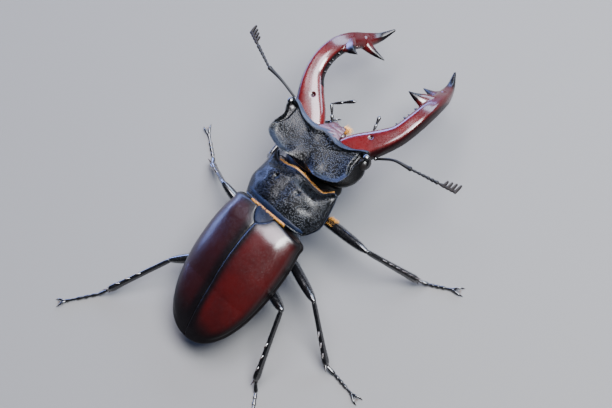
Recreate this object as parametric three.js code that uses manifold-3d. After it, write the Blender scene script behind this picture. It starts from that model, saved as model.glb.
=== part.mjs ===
// A large male stag beetle (Lucanus cervus), standing, at life size in millimetres.
//
// Shapes are worked out in the beetle's own axes: +X to its right, +Y forwards, +Z up.
// The trunk, the prothorax and the head are nested groups, each tipped on the one behind it,
// and the six legs stand in the level frame. At the end the whole beetle makes half a turn,
// so that it faces -Y, and is centred over the origin with its feet at Z = 0.

import * as THREE from 'three';
import { mergeVertices } from 'three/addons/utils/BufferGeometryUtils.js';
import Module from 'manifold-3d';

const wasm = await Module();
wasm.setup();

// ---------------------------------------------------------------- driving dimensions

const GAP = 0.3;                    // clearance between neighbouring pieces
const HALF_GAP = GAP / 2;

const trunkHeight = 12.0;           // margin of the wing cases above the floor, at their base
const trunkPitch = 12;              // degrees, nose up
const prothoraxPitch = -10;         // degrees, on the trunk
const prothoraxYaw = 2.65;
const prothoraxSeat = [0, 0.4, 0];
const headPitch = -7;               // degrees, on the prothorax
const headYaw = 0.9;
const headSeat = [0, 11.2, 6.1];

const elytra = {
  length: 30.3,                     // base of the pronotum to the tip of the wing cases
  base: 1.0,                        // where the wing cases begin, behind the pronotum
  halfWidth: 9.75,                  // widest, at `widest` behind the pronotum
  baseHalfWidth: 8.3,
  widest: 11,
  shoulderHeight: 4.6,
  crown: 0.99,                      // how much the back rises above the shoulders
  wall: 0.9,
  lip: 0.5,                         // depth of the turned-under edge
};

const pronotum = {
  rear: -1.5,
  front: 8.0,
  halfWidth: 9.0,
  margin: 0.1,                      // height of the sharp side edge at its lowest
  corner: 1.2,                      // and at the front and rear corners
  crown: 4.9,
  depth: 4.4,                       // of the underside below the side edge
};

const head = {
  rim: 0.6,                         // height of the shield's raised edge
  bowl: 1.5,                        // depth of the hollow in the shield
  chin: -6.6,
};

const limb = { sides: 7, coxa: 1.25, femur: 1.3 };
const soleDip = 0.12;               // how far the pads dip before the soles are cut flat

// ---------------------------------------------------------------- colours

const ebony = { color: 0x0d0d10, roughness: 0.35, metalness: 0 };
const granular = { color: 0x17181c, roughness: 0.62, metalness: 0 };
const chestnut = { color: 0x3a0d0b, roughness: 0.38, metalness: 0 };
const garnet = { color: 0x5e0f0d, roughness: 0.18, metalness: 0 };
const jet = { color: 0x050506, roughness: 0.12, metalness: 0 };

// ---------------------------------------------------------------- shape helpers

const degrees = THREE.MathUtils.degToRad;
const { clamp, lerp, smoothstep } = THREE.MathUtils;

// A sine or cosine raised to a power, keeping its sign: the section of a superellipse.
function signedPower(value, power) {
  return Math.sign(value) * Math.abs(value) ** power;
}

// A closed body moulded from a sphere: place(row, angle) gives the point of each of its
// latitude rows. The first and last rows are poles, where the angle has no effect.
function mould(sides, rows, place) {
  const geometry = new THREE.SphereGeometry(1, sides, rows);
  const position = geometry.attributes.position;
  for (let i = 0; i < position.count; i += 1) {
    const row = Math.floor(i / (sides + 1));
    const column = (i % (sides + 1)) % sides;
    const pole = row === 0 || row === rows;
    const angle = pole ? 0 : (2 * Math.PI * column) / sides;
    position.setXYZ(i, ...place(row, angle));
  }
  return geometry;
}

function signedVolume(positions, triangles) {
  const corner = [new THREE.Vector3(), new THREE.Vector3(), new THREE.Vector3()];
  let volume = 0;
  for (let i = 0; i < triangles.length; i += 3) {
    corner.forEach((point, k) => point.fromArray(positions, 3 * triangles[i + k]));
    volume += corner[0].dot(corner[1].clone().cross(corner[2]));
  }
  return volume / 6;
}

// A manifold solid from a closed geometry, with its faces turned outwards.
function solid(geometry) {
  const bare = geometry.clone();
  bare.deleteAttribute('normal');
  bare.deleteAttribute('uv');
  const merged = mergeVertices(bare, 1e-4);
  const vertProperties = new Float32Array(merged.attributes.position.array);
  const triVerts = new Uint32Array(merged.index.array);
  if (signedVolume(vertProperties, triVerts) < 0) triVerts.reverse();
  return new wasm.Manifold(new wasm.Mesh({ numProp: 3, vertProperties, triVerts }));
}

function union(geometries) {
  return geometries.map(solid).reduce((whole, piece) => whole.add(piece));
}

function toGeometry(body) {
  const { vertProperties, triVerts } = body.getMesh();
  const geometry = new THREE.BufferGeometry();
  geometry.setAttribute('position', new THREE.BufferAttribute(vertProperties, 3));
  geometry.setIndex(new THREE.BufferAttribute(triVerts, 1));
  const flat = geometry.toNonIndexed();
  flat.computeVertexNormals();
  return flat;
}

function node(name, body, finish) {
  const mesh = new THREE.Mesh(toGeometry(body), new THREE.MeshStandardMaterial(finish));
  mesh.name = name;
  return mesh;
}

// A limb or horn swept through stations [x, y, z, half width, half height]. The width lies
// level, across the path, and the height stands square to both.
function sweep(stations, sides, steps, grow = 0) {
  const path = new THREE.CatmullRomCurve3(stations.map(([x, y, z]) => new THREE.Vector3(x, y, z)));
  const girth = new THREE.CatmullRomCurve3(
    stations.map(([, , , width, height]) => new THREE.Vector3(width, height, 0)),
    false,
    'catmullrom',
  );
  const up = new THREE.Vector3(0, 0, 1);
  return mould(sides, steps + 2, (row, angle) => {
    const t = clamp((row - 1) / steps, 0, 1);
    const centre = path.getPoint(t);
    if (row === 0 || row === steps + 2) return centre.toArray();
    const along = path.getTangent(t);
    const across = along.clone().cross(up).normalize();
    const above = across.clone().cross(along).normalize();
    const size = girth.getPoint(t);
    centre.addScaledVector(across, Math.cos(angle) * (Math.max(size.x, 0.02) + grow));
    centre.addScaledVector(above, Math.sin(angle) * (Math.max(size.y, 0.02) + grow));
    return centre.toArray();
  });
}

function between(a, b, t) {
  return a.map((value, k) => lerp(value, b[k], t));
}

// A short pointed tooth or spine.
function spur(seat, direction, length, radius) {
  const tip = seat.map((value, k) => value + direction[k] * length);
  return sweep([[...seat, radius, radius], [...tip, 0.16, 0.16]], 4, 1);
}

function ellipsoid([x, y, z], [a, b, c], sides = 10, rows = 6) {
  return new THREE.SphereGeometry(1, sides, rows).scale(a, b, c).translate(x, y, z);
}

function grown(radii, clearance) {
  return radii.map((radius) => radius + clearance);
}

// The same stations on the other side of the beetle.
function mirrored(side, stations) {
  return stations.map(([x, ...rest]) => [side * x, ...rest]);
}

// ---------------------------------------------------------------- nested frames

function frame(seat, pitch, yaw) {
  const group = new THREE.Group();
  group.position.set(...seat);
  group.rotation.set(degrees(pitch), 0, degrees(yaw), 'ZXY');
  return group;
}

const beetle = new THREE.Group();
const trunk = frame([0, 0, trunkHeight], trunkPitch, 0);
const prothorax = frame(prothoraxSeat, prothoraxPitch, prothoraxYaw);
const headFrame = frame(headSeat, headPitch, headYaw);
beetle.add(trunk);
trunk.add(prothorax);
prothorax.add(headFrame);
beetle.updateMatrixWorld(true);

// A geometry given in one frame, restated in a frame nested in it or above it.
function restate(geometry, from, to) {
  const move = to.matrixWorld.clone().invert().multiply(from.matrixWorld);
  return geometry.clone().applyMatrix4(move);
}

// ---------------------------------------------------------------- wing cases and trunk

function backHalfWidth(t) {
  const { length, halfWidth, baseHalfWidth, widest } = elytra;
  if (t <= widest) {
    const rise = Math.sin((Math.max(t, 0) / widest) * (Math.PI / 2)) ** 0.9;
    return lerp(baseHalfWidth, halfWidth, rise);
  }
  const s = clamp((t - widest) / (length - widest), 0, 1);
  return halfWidth * (1 - s ** 2.35) ** (1 / 2.2);
}

function backHeight(t) {
  const f = t / elytra.length;
  const rise = elytra.crown * Math.sin(Math.PI * Math.min(f / 0.62, 1));
  const fall = elytra.shoulderHeight * clamp((f - 0.35) / 0.65, 0, 1) ** 2.4;
  return elytra.shoulderHeight + rise - fall;
}

// The domed back, from `start` to `end` behind the pronotum, `inset` inside the true surface.
// Its underside hangs `lower(t)` below the side edges, as a keel or as a flat lip.
function dome({ start, end, inset, lower, keel, frontRows = [0.72, 0.93], sides = 20, steps = 10 }) {
  const rows = steps + frontRows.length + 2;
  return mould(sides, rows, (row, angle) => {
    const step = clamp(row - frontRows.length - 1, 0, steps) / steps;
    const easing = 1 - (1 - step) ** 1.35;
    const t = start + (end - start) * easing;
    const rounded = row <= frontRows.length ? frontRows[row - 1] : 1;
    const width = Math.max(backHalfWidth(t) - inset, 0.02) * rounded;
    const top = Math.max(backHeight(t) - inset, 0.02) * rounded;
    if (row === 0 || row === rows) return [0, -t, 0];
    const c = Math.cos(angle);
    const s = Math.sin(angle);
    const square = lerp(0.72, 0.85, smoothstep(t, elytra.base, 12));
    const flare = keel && s < 0 ? [1.25, 1.6] : [square, square];
    const x = width * signedPower(c, flare[0]);
    const z = s >= 0 ? top * signedPower(s, flare[1]) : lower(t) * rounded * signedPower(s, flare[1]);
    const setBack = 0.9 * (x / elytra.baseHalfWidth) ** 2 * (1 - smoothstep(t, elytra.base, 9));
    const roundedBack = row > 0 && row <= frontRows.length ? -0.35 * (1 - (row - 1) / frontRows.length) : 0;
    return [x, -t - setBack - roundedBack, z];
  });
}

const scutellumOutline = { halfWidth: 2.3, front: -0.7, tip: -3.9, thickness: 1.2 };

// The heart-shaped plate between the bases of the wing cases, sloping up to its tip.
function scutellumSolid(grow, thickness) {
  const { halfWidth, front, tip } = scutellumOutline;
  const outline = new THREE.Shape();
  outline.moveTo(-halfWidth - grow, front + grow);
  outline.lineTo(halfWidth + grow, front + grow);
  outline.quadraticCurveTo(halfWidth + grow, tip + 1.0, 0, tip - grow * 1.6);
  outline.quadraticCurveTo(-halfWidth - grow, tip + 1.0, -halfWidth - grow, front + grow);
  const plate = new THREE.ExtrudeGeometry(outline, {
    depth: thickness,
    bevelEnabled: false,
    curveSegments: 5,
  });
  plate.translate(0, 0, -thickness / 2);
  plate.rotateX(degrees(-10));
  plate.translate(0, 0, 3.65);
  return plate;
}

function buildWingCases() {
  const shell = solid(dome({ start: elytra.base, end: elytra.length, inset: 0, lower: () => elytra.lip }));
  const hollow = solid(dome({
    start: elytra.base - 2,
    end: elytra.length - 1.6,
    inset: elytra.wall,
    lower: () => 6,
    sides: 12,
    steps: 6,
  }));
  const notch = solid(scutellumSolid(GAP, 6));
  const pair = shell.subtract(hollow).subtract(notch);
  return [1, -1].map((side) => {
    const half = pair.trimByPlane([side, 0, 0], HALF_GAP);
    return node(side > 0 ? 'elytron_right' : 'elytron_left', half, chestnut);
  });
}

const waistJoint = { seat: [0, 0.2, -0.4], radii: [5.4, 2.6, 3.6] };
const segmentBreak = 12.0;          // hind coxae: the thorax ends and the abdomen begins

function buildTrunk() {
  const keelDepth = (t) => lerp(5.3, 1.4, smoothstep(t, 10, elytra.length) ** 1.3);
  const inset = elytra.wall + GAP + 0.15;
  const body = solid(dome({
    start: elytra.base + 0.6,
    end: elytra.length - 2.2,
    inset,
    lower: keelDepth,
    keel: true,
    sides: 16,
    steps: 7,
  }));
  const waist = solid(ellipsoid(waistJoint.seat, waistJoint.radii, 12, 6));
  const whole = body.add(waist).subtract(solid(scutellumSolid(GAP, 6)));
  return [
    node('thorax_hind', whole.trimByPlane([0, 1, 0], -segmentBreak + HALF_GAP), jet),
    node('abdomen', whole.trimByPlane([0, -1, 0], segmentBreak + HALF_GAP), jet),
  ];
}

// ---------------------------------------------------------------- prothorax

// Half the width of the pronotum at s, from 0 at its rear edge to 1 at its front.
function pronotumHalfWidth(s) {
  const widest = 0.42;
  const rear = 7.6;
  const front = 7.9;
  if (s < widest) return lerp(rear, pronotum.halfWidth, Math.sin((s / widest) * (Math.PI / 2)) ** 1.3);
  return lerp(pronotum.halfWidth, front, ((s - widest) / (1 - widest)) ** 1.15);
}

function pronotumPoint(s, across, rise) {
  const ends = Math.sin(Math.PI * clamp(s, 0.03, 0.97)) ** 0.45;
  const margin = lerp(pronotum.margin, pronotum.corner, ((s - 0.45) / 0.55) ** 2);
  const width = pronotumHalfWidth(s) * (rise < 0 ? Math.abs(across) ** 0.9 : 1);
  const crown = lerp(3.1, pronotum.crown, ends);
  const x = width * across;
  const z = rise >= 0
    ? margin + (crown - margin) * rise
    : margin + pronotum.depth * rise * lerp(0.82, 1, ends);
  // The front edge is bow-shaped: it comes forward in the middle and at both corners.
  const bow = 0.55 * Math.cos(2 * Math.PI * across) * smoothstep(s, 0.45, 1);
  return [x, lerp(pronotum.rear, pronotum.front, s) + bow, z];
}

function prothoraxBody() {
  const steps = 7;
  return mould(20, steps + 2, (row, angle) => {
    const s = clamp((row - 1) / steps, 0, 1);
    if (row === 0 || row === steps + 2) return pronotumPoint(s, 0, 0);
    const c = Math.cos(angle);
    return pronotumPoint(s, signedPower(c, 0.95), signedPower(Math.sin(angle), 1.05));
  });
}

const neck = { seat: [0, 9.4, 0.6], radii: [6.4, 3.1, 4.6] };

function buildProthorax() {
  const throat = ellipsoid(neck.seat, grown(neck.radii, 0.45), 12, 8);
  const waist = restate(ellipsoid(waistJoint.seat, grown(waistJoint.radii, 0.6), 12, 6), trunk, prothorax);
  const scutellum = restate(scutellumSolid(GAP, 6), trunk, prothorax);
  const hollowed = solid(prothoraxBody()).subtract(solid(throat)).subtract(solid(waist));
  const parting = pronotum.margin - 0.5;
  const upper = hollowed.subtract(solid(scutellum)).trimByPlane([0, 0, 1], parting + HALF_GAP);
  const lower = hollowed
    .trimByPlane([0, 0, -1], -parting + HALF_GAP)
    .trimByPlane([0, 1, 0], pronotum.rear + 1.2);
  return [node('pronotum', upper, granular), node('prosternum', lower, ebony)];
}

// ---------------------------------------------------------------- head

// Half the shield's outline, from the middle of its front edge round to the middle of its
// rear edge: [x, y, height of the rim].
const shieldOutline = [
  [0, 5.3, -0.2], [2.8, 4.6, 0.0], [5.8, 4.9, 0.3], [8.6, 6.3, 0.7], [10.1, 6.5, 0.9],
  [10.0, 5.0, 0.8], [9.3, 3.2, 0.5], [9.7, 1.0, 0.5], [9.2, -1.1, 0.6], [7.0, -2.3, 0.7],
  [4.4, -2.7, 0.4], [0, -2.0, -0.3],
];

// Half the outline at the level of the eyes: mandible sockets, eyes, cheeks and neck.
const beltOutline = [
  [0, 6.6, -2.6], [2.8, 6.9, -2.4], [6.0, 7.0, -2.2], [8.8, 6.9, -1.8], [9.7, 6.2, -1.7],
  [9.8, 5.0, -1.9], [10.2, 3.4, -2.4], [9.8, 1.0, -2.6], [8.2, -0.9, -2.6], [6.0, -1.8, -2.4],
  [3.6, -2.2, -2.2], [0, -2.4, -2.2],
];

function loop(outline) {
  const right = outline.map((point) => new THREE.Vector3(...point));
  const left = outline.slice(1, -1).reverse().map(([x, y, z]) => new THREE.Vector3(-x, y, z));
  return new THREE.CatmullRomCurve3([...right, ...left], true, 'catmullrom', 0.5);
}

function headShell() {
  const rim = loop(shieldOutline);
  const belt = loop(beltOutline);
  const crownPoint = new THREE.Vector3(0, 1.6, head.rim - head.bowl);
  const chinPoint = new THREE.Vector3(0, 2.2, head.chin);
  const dorsal = [0.4, 0.72, 0.93];
  const ventral = [0.5, 0.8];
  const rows = dorsal.length + ventral.length + 4;
  return mould(24, rows, (row, angle) => {
    const turn = angle / (2 * Math.PI);
    if (row === 0) return crownPoint.toArray();
    if (row === rows) return chinPoint.toArray();
    const edge = rim.getPoint(turn);
    const side = belt.getPoint(turn);
    if (row <= dorsal.length) {
      const reach = dorsal[row - 1];
      const point = crownPoint.clone().lerp(edge, reach);
      point.z = lerp(crownPoint.z, edge.z, reach ** 2.6);
      return point.toArray();
    }
    if (row === dorsal.length + 1) return edge.toArray();
    if (row === dorsal.length + 2) {
      const undercut = edge.clone().lerp(side, 0.35);
      undercut.z = lerp(edge.z, side.z, 0.42);
      return undercut.toArray();
    }
    if (row === dorsal.length + 3) return side.toArray();
    const drop = ventral[row - dorsal.length - 4];
    const point = side.clone().lerp(chinPoint, drop ** 2.2);
    point.z = lerp(side.z, chinPoint.z, Math.sin(drop * (Math.PI / 2)));
    return point.toArray();
  });
}

const eye = { seat: [9.6, 5.1, -1.25], radii: [1.2, 1.4, 1.25] };

function eyeBall(side, grow) {
  return solid(ellipsoid([side * eye.seat[0], eye.seat[1], eye.seat[2]], grown(eye.radii, grow)));
}

// Stations of the right mandible: root, shaft, then the outer prong of the fork.
const mandibleShaft = [
  [6.1, 6.3, -1.7, 2.6, 1.4], [8.95, 9.8, -1.3, 2.3, 1.45], [11.0, 13.1, -1.1, 1.75, 1.45],
  [11.85, 16.8, -1.1, 1.7, 1.5], [11.85, 20.2, -1.9, 1.7, 1.45], [11.3, 23.0, -3.5, 1.6, 1.35],
  [10.3, 25.5, -5.8, 1.35, 1.15], [9.3, 27.9, -7.2, 0.8, 0.8], [7.9, 30.8, -7.2, 0.2, 0.25],
];
const innerProng = [[9.9, 24.8, -5.4, 1.0, 1.0], [7.6, 24.6, -6.5, 0.7, 0.7], [5.2, 24.7, -7.2, 0.15, 0.2]];
const medianTooth = [[10.8, 21.3, -2.3, 1.5, 1.1], [8.9, 21.1, -1.2, 0.95, 0.7], [6.7, 20.9, -0.5, 0.15, 0.2]];

// Rows of small teeth along the inner edge, behind the large tooth and between it and the fork.
const smallTeeth = [
  { first: [10.6, 15.2, -1.1], last: [10.6, 18.7, -1.3], count: 4, reach: 1.0 },
  { first: [10.2, 22.4, -2.9], last: [9.7, 23.8, -4.2], count: 3, reach: 0.8 },
];

function mandible(side) {
  const pieces = [sweep(mirrored(side, mandibleShaft), 10, 12)];
  pieces.push(sweep(mirrored(side, innerProng), 6, 3));
  pieces.push(sweep(mirrored(side, medianTooth), 6, 3));
  for (const { first, last, count, reach } of smallTeeth) {
    for (let i = 0; i < count; i += 1) {
      const [x, y, z] = between(first, last, i / (count - 1));
      pieces.push(spur([side * x, y, z], [-side, 0.1, 0.1], reach, 0.5));
    }
  }
  return union(pieces).subtract(eyeBall(side, GAP));
}

// The hollow in the front of the head that clears the root of the mandible.
function mandibleSocket(side) {
  const root = mirrored(side, mandibleShaft.slice(0, 3));
  const [x, y, z, width, height] = root[0];
  const knuckle = ellipsoid([x, y, z], grown([width, 0.5, height], 0.5), 8, 4);
  return solid(sweep(root, 10, 3, GAP + 0.1)).add(solid(knuckle));
}

const labrum = { seat: [0, 7.3, -3.4], radii: [2.5, 1.6, 0.9] };
const mentum = { seat: [0, 4.4, -6.6], radii: [4.2, 3.4, 1.1] };

function buildHead() {
  const parts = [];
  let shell = solid(headShell());
  shell = shell.add(solid(restate(ellipsoid(neck.seat, neck.radii, 12, 8), prothorax, headFrame)));
  for (const side of [1, -1]) {
    const hand = side > 0 ? 'right' : 'left';
    shell = shell.subtract(mandibleSocket(side)).subtract(eyeBall(side, GAP));
    parts.push(node(`mandible_${hand}`, mandible(side), garnet));
    parts.push(node(`eye_${hand}`, eyeBall(side, 0), jet));
  }
  const plate = ({ seat, radii }, grow) => solid(ellipsoid(seat, grown(radii, grow), 12, 6));
  shell = shell.subtract(plate(labrum, GAP)).subtract(plate(mentum, GAP));
  parts.push(node('head', shell, granular));
  parts.push(node('labrum', plate(labrum, 0), garnet));
  parts.push(node('mentum', plate(mentum, 0), jet));
  return parts;
}

// ---------------------------------------------------------------- feelers and palps

// Each feeler: a long scape, an elbow, a beaded funicle and a comb-like club.
const feelers = {
  right: { root: [10.6, 7.1, -1.4], bow: [14.3, 8.7, -0.2], elbow: [18.1, 9.3, -0.3], end: [27.4, 11.0, -1.0] },
  left: { root: [-10.6, 7.1, -1.4], bow: [-14.6, 8.0, -0.1], elbow: [-18.8, 8.6, 0.0], end: [-27.4, 12.2, -0.6] },
};
const funicleShare = 0.6;           // of the length beyond the elbow
const lamellae = 4;

function buildFeeler(hand) {
  const { root, bow, elbow, end } = feelers[hand];
  const clubStart = between(elbow, end, funicleShare);
  const scape = sweep([
    [...root, 0.32, 0.32], [...bow, 0.3, 0.3], [...between(bow, elbow, 0.85), 0.42, 0.42], [...elbow, 0.3, 0.3],
  ], 6, 6);
  const beads = 5;
  const funicleStations = [];
  for (let i = 0; i <= 2 * beads; i += 1) {
    const size = i % 2 ? 0.36 : 0.28;
    funicleStations.push([...between(elbow, clubStart, (i + 0.9) / (2 * beads + 1.4)), size, size]);
  }
  const club = [sweep([[...between(clubStart, end, 0.06), 0.3, 0.3], [...end, 0.3, 0.3]], 5, 1)];
  const forward = hand === 'right' ? [-0.35, 0.9, 0.1] : [0.35, 0.9, 0.1];
  for (let i = 0; i < lamellae; i += 1) {
    const seat = between(clubStart, end, 0.2 + (0.8 * i) / (lamellae - 1));
    const reach = 0.95 + 0.15 * i;
    const tip = seat.map((value, k) => value + forward[k] * reach);
    club.push(sweep([[...seat, 0.32, 0.3], [...tip, 0.27, 0.27]], 5, 1));
  }
  return [
    node(`antenna_scape_${hand}`, solid(scape), jet),
    node(`antenna_funicle_${hand}`, solid(sweep(funicleStations, 5, 2 * beads)), jet),
    node(`antenna_club_${hand}`, union(club), ebony),
  ];
}

const palps = {
  right: [[3.2, 8.2, -4.9], [5.3, 11.4, -3.6], [4.5, 14.3, -3.0]],
  left: [[-3.0, 8.2, -4.9], [-5.2, 10.9, -3.4], [-1.5, 13.9, -3.0]],
};

function buildPalp(hand) {
  const [base, joint, tip] = palps[hand];
  const body = sweep([
    [...base, 0.3, 0.3], [...between(base, joint, 0.85), 0.32, 0.32], [...between(joint, tip, 0.2), 0.28, 0.28],
    [...between(joint, tip, 0.85), 0.38, 0.38], [...tip, 0.2, 0.2],
  ], 6, 5);
  return node(`palp_${hand}`, solid(body), ebony);
}

// ---------------------------------------------------------------- legs

// Joints of each leg, in the level frame: hip, knee, ankle and the tip of the foot.
const legs = {
  front_right: { hip: [4.2, 4.6, 8.0], knee: [18.1, 5.3, 10.5], ankle: [26.0, 8.1, 1.6], toe: [33.2, 11.9, 0.3] },
  front_left: { hip: [-4.4, 4.3, 7.7], knee: [-14.7, 6.9, 2.6], ankle: [-16.0, 16.8, 1.6], toe: [-10.2, 20.6, 0.3] },
  mid_right: { hip: [4.6, -4.9, 5.6], knee: [16.8, -8.0, 9.6], ankle: [24.1, -15.2, 1.6], toe: [32.9, -16.0, 0.3] },
  mid_left: { hip: [-4.6, -4.9, 5.6], knee: [-15.6, -3.2, 7.0], ankle: [-23.2, -1.9, 1.6], toe: [-30.6, 2.9, 0.3] },
  hind_right: { hip: [4.4, -11.6, 4.0], knee: [13.6, -13.3, 10.4], ankle: [15.6, -26.5, 1.6], toe: [21.0, -33.9, 0.3] },
  hind_left: { hip: [-4.2, -11.6, 4.2], knee: [-13.6, -21.1, 5.0], ankle: [-21.0, -33.9, 1.6], toe: [-28.4, -43.2, 0.3] },
};

const vector = (point) => new THREE.Vector3(...point);

// The plane that halves the angle of a joint between a -> joint -> b.
function mitre(a, joint, b) {
  const inward = vector(joint).sub(vector(a)).normalize();
  const outward = vector(b).sub(vector(joint)).normalize();
  return inward.add(outward).normalize();
}

function cutBefore(body, normal, joint) {
  return body.trimByPlane([-normal.x, -normal.y, -normal.z], -normal.dot(vector(joint)) + HALF_GAP);
}

function cutAfter(body, normal, joint) {
  return body.trimByPlane(normal.toArray(), normal.dot(vector(joint)) + HALF_GAP);
}

// A straight segment whose girth follows profile pairs [share of the length, radius].
function segment(from, to, profile, sides = limb.sides) {
  const overrun = 0.4 / vector(from).distanceTo(vector(to));
  const stations = profile.map(([share, radius], i) => {
    const end = i === 0 ? -overrun : overrun;
    const reach = i === 0 || i === profile.length - 1 ? share + end : share;
    return [...between(from, to, reach), radius * 0.86, radius];
  });
  return sweep(stations, sides, profile.length - 1);
}

function buildTibia(knee, ankle, isFront) {
  const along = vector(ankle).sub(vector(knee)).normalize();
  const outer = new THREE.Vector3(0, 0, 1).cross(along).cross(along).negate().normalize();
  const shape = isFront
    ? [[0, 0.55], [0.3, 0.66], [0.75, 0.92], [0.97, 1.0], [1, 0.5]]
    : [[0, 0.6], [0.3, 0.6], [0.75, 0.72], [0.95, 0.85], [1, 0.5]];
  const pieces = [segment(knee, ankle, shape)];
  const spines = isFront ? [0.4, 0.55, 0.7, 0.84] : [0.45, 0.62, 0.78];
  for (const share of spines) {
    const direction = outer.clone().addScaledVector(along, 0.55).normalize().toArray();
    pieces.push(spur(between(knee, ankle, share), direction, isFront ? 1.7 : 1.3, 0.36));
  }
  const fork = outer.clone().addScaledVector(along, 1.1).normalize().toArray();
  pieces.push(spur(between(knee, ankle, 0.95), fork, 1.7, 0.4));
  return union(pieces);
}

// Five tarsal segments, lying on the floor, and two claws. The pads are cut flat at Z = 0.
function buildTarsus(ankle, toe) {
  const heel = [...between(ankle, toe, 0.22).slice(0, 2), 0.46];
  const wrist = [...between(ankle, toe, 0.62).slice(0, 2), 0.4];
  const pad = [...between(ankle, toe, 0.86).slice(0, 2), 0.42];
  const stations = [[...ankle, 0.34, 0.36], [...between(ankle, heel, 0.8), 0.44, 0.46], [...heel, 0.3, 0.32]];
  const shortSegments = 3;
  for (let i = 0; i < shortSegments; i += 1) {
    stations.push([...between(heel, wrist, (i + 0.75) / shortSegments), 0.42, 0.46]);
    stations.push([...between(heel, wrist, (i + 1) / shortSegments), 0.27, 0.3]);
  }
  stations.push([...between(wrist, pad, 0.7), 0.36, 0.46], [...pad, 0.28, 0.34]);
  const pieces = [sweep(stations, 5, stations.length - 1)];
  const forward = vector(toe).sub(vector(ankle)).setZ(0).normalize();
  const sideways = new THREE.Vector3(-forward.y, forward.x, 0);
  for (const hand of [1, -1]) {
    const at = (ahead, aside, z) => {
      const point = vector(pad).addScaledVector(forward, ahead).addScaledVector(sideways, hand * aside);
      return [point.x, point.y, z];
    };
    pieces.push(sweep([
      [...at(-0.5, 0.02, 0.45), 0.28, 0.28], [...at(0.8, 0.6, 0.6), 0.26, 0.27], [...at(1.9, 0.85, 0.1), 0.22, 0.22],
    ], 4, 2));
  }
  const lowered = union(pieces).translate(0, 0, -soleDip);
  return lowered.trimByPlane([0, 0, 1], 0);
}

// What the leg's root must clear: the belly, and the same a gap's width down and to each side.
function clearOf(belly, body) {
  const shifts = [[0, 0, -GAP], [GAP, 0, 0], [-GAP, 0, 0], [0, GAP, 0], [0, -GAP, 0]];
  return shifts.reduce((rest, shift) => rest.subtract(belly.translate(...shift)), body);
}

function buildLeg(name, { hip, knee, ankle, toe }, belly) {
  const inner = [hip[0] * 0.42, hip[1], hip[2] + 0.4];
  const hipPlane = mitre(inner, hip, knee);
  const kneePlane = mitre(hip, knee, ankle);
  const anklePlane = mitre(knee, ankle, toe);
  const coxa = clearOf(belly, solid(segment(inner, hip, [[0, 0.9], [0.5, limb.coxa], [1, 1.0]])));
  const femur = solid(segment(hip, knee, [[0, 0.85], [0.35, limb.femur], [0.8, 1.15], [1, 0.8]]));
  const tibia = buildTibia(knee, ankle, name.startsWith('front'));
  const tarsus = buildTarsus(ankle, toe);
  return [
    node(`leg_${name}_coxa`, cutBefore(coxa, hipPlane, hip), jet),
    node(`leg_${name}_femur`, cutBefore(cutAfter(femur, hipPlane, hip), kneePlane, knee), jet),
    node(`leg_${name}_tibia`, cutBefore(cutAfter(tibia, kneePlane, knee), anklePlane, ankle), jet),
    node(`leg_${name}_tarsus`, cutAfter(tarsus, anklePlane, ankle), jet),
  ];
}

// ---------------------------------------------------------------- assembly

// The underside of the beetle as one solid in the level frame.
function bellySolid() {
  const pieces = [];
  beetle.updateMatrixWorld(true);
  beetle.traverse((mesh) => {
    if (!['prosternum', 'thorax_hind', 'abdomen'].includes(mesh.name)) return;
    pieces.push(restate(mesh.geometry, mesh, beetle));
  });
  return union(pieces);
}

trunk.add(...buildWingCases(), ...buildTrunk());
trunk.add(node('scutellum', solid(scutellumSolid(0, scutellumOutline.thickness)), ebony));
prothorax.add(...buildProthorax());
headFrame.add(...buildHead());
for (const hand of ['right', 'left']) headFrame.add(...buildFeeler(hand), buildPalp(hand));
const belly = bellySolid();
for (const [name, joints] of Object.entries(legs)) beetle.add(...buildLeg(name, joints, belly));

const bounds = new THREE.Box3().setFromObject(beetle, true);
const centre = bounds.getCenter(new THREE.Vector3());
beetle.rotation.z = Math.PI;
beetle.position.set(centre.x, centre.y, -bounds.min.z);

const stagBeetle = new THREE.Group();
stagBeetle.add(beetle);

export default stagBeetle;
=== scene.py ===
# A large male stag beetle at life size: the fine surface, horn, hair, light and camera.
#
# Shapes are worked out in millimetres in the beetle's own axes (+X to its right, +Y forwards,
# +Z up) and then set in place by the matrices IN_LEVEL, IN_TRUNK, IN_PROTHORAX and IN_HEAD,
# which nest as the solids do: the beetle faces -Y, with its feet at Z = 0.

import math
import random

import bmesh
import bpy
import numpy as np
from mathutils import Matrix, Vector, noise


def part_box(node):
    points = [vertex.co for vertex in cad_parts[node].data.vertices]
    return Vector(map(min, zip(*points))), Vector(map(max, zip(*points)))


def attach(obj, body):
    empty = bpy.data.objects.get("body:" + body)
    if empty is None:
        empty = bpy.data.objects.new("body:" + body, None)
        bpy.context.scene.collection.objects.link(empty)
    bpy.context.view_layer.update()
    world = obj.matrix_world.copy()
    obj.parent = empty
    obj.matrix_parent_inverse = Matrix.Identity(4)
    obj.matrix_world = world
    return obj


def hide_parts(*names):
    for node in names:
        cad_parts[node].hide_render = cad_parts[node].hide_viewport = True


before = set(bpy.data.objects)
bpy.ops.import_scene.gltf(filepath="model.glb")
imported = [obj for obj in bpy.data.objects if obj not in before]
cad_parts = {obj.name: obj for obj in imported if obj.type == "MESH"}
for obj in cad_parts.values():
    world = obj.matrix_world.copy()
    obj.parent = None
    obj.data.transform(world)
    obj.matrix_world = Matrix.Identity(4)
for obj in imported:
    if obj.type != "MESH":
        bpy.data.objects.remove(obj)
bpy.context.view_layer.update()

MM = 0.001
random.seed(71)

# ---------------------------------------------------------------- places

TRUNK_HEIGHT = 12.0
TRUNK_PITCH = 12.0
PROTHORAX = dict(seat=(0, 0.4, 0), pitch=-10.0, yaw=2.65)
HEAD = dict(seat=(0, 11.2, 6.1), pitch=-7.0, yaw=0.9)
SCUTELLUM_MIDDLE = -3.057           # of the scutellum's box, forward of the waist, level


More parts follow.
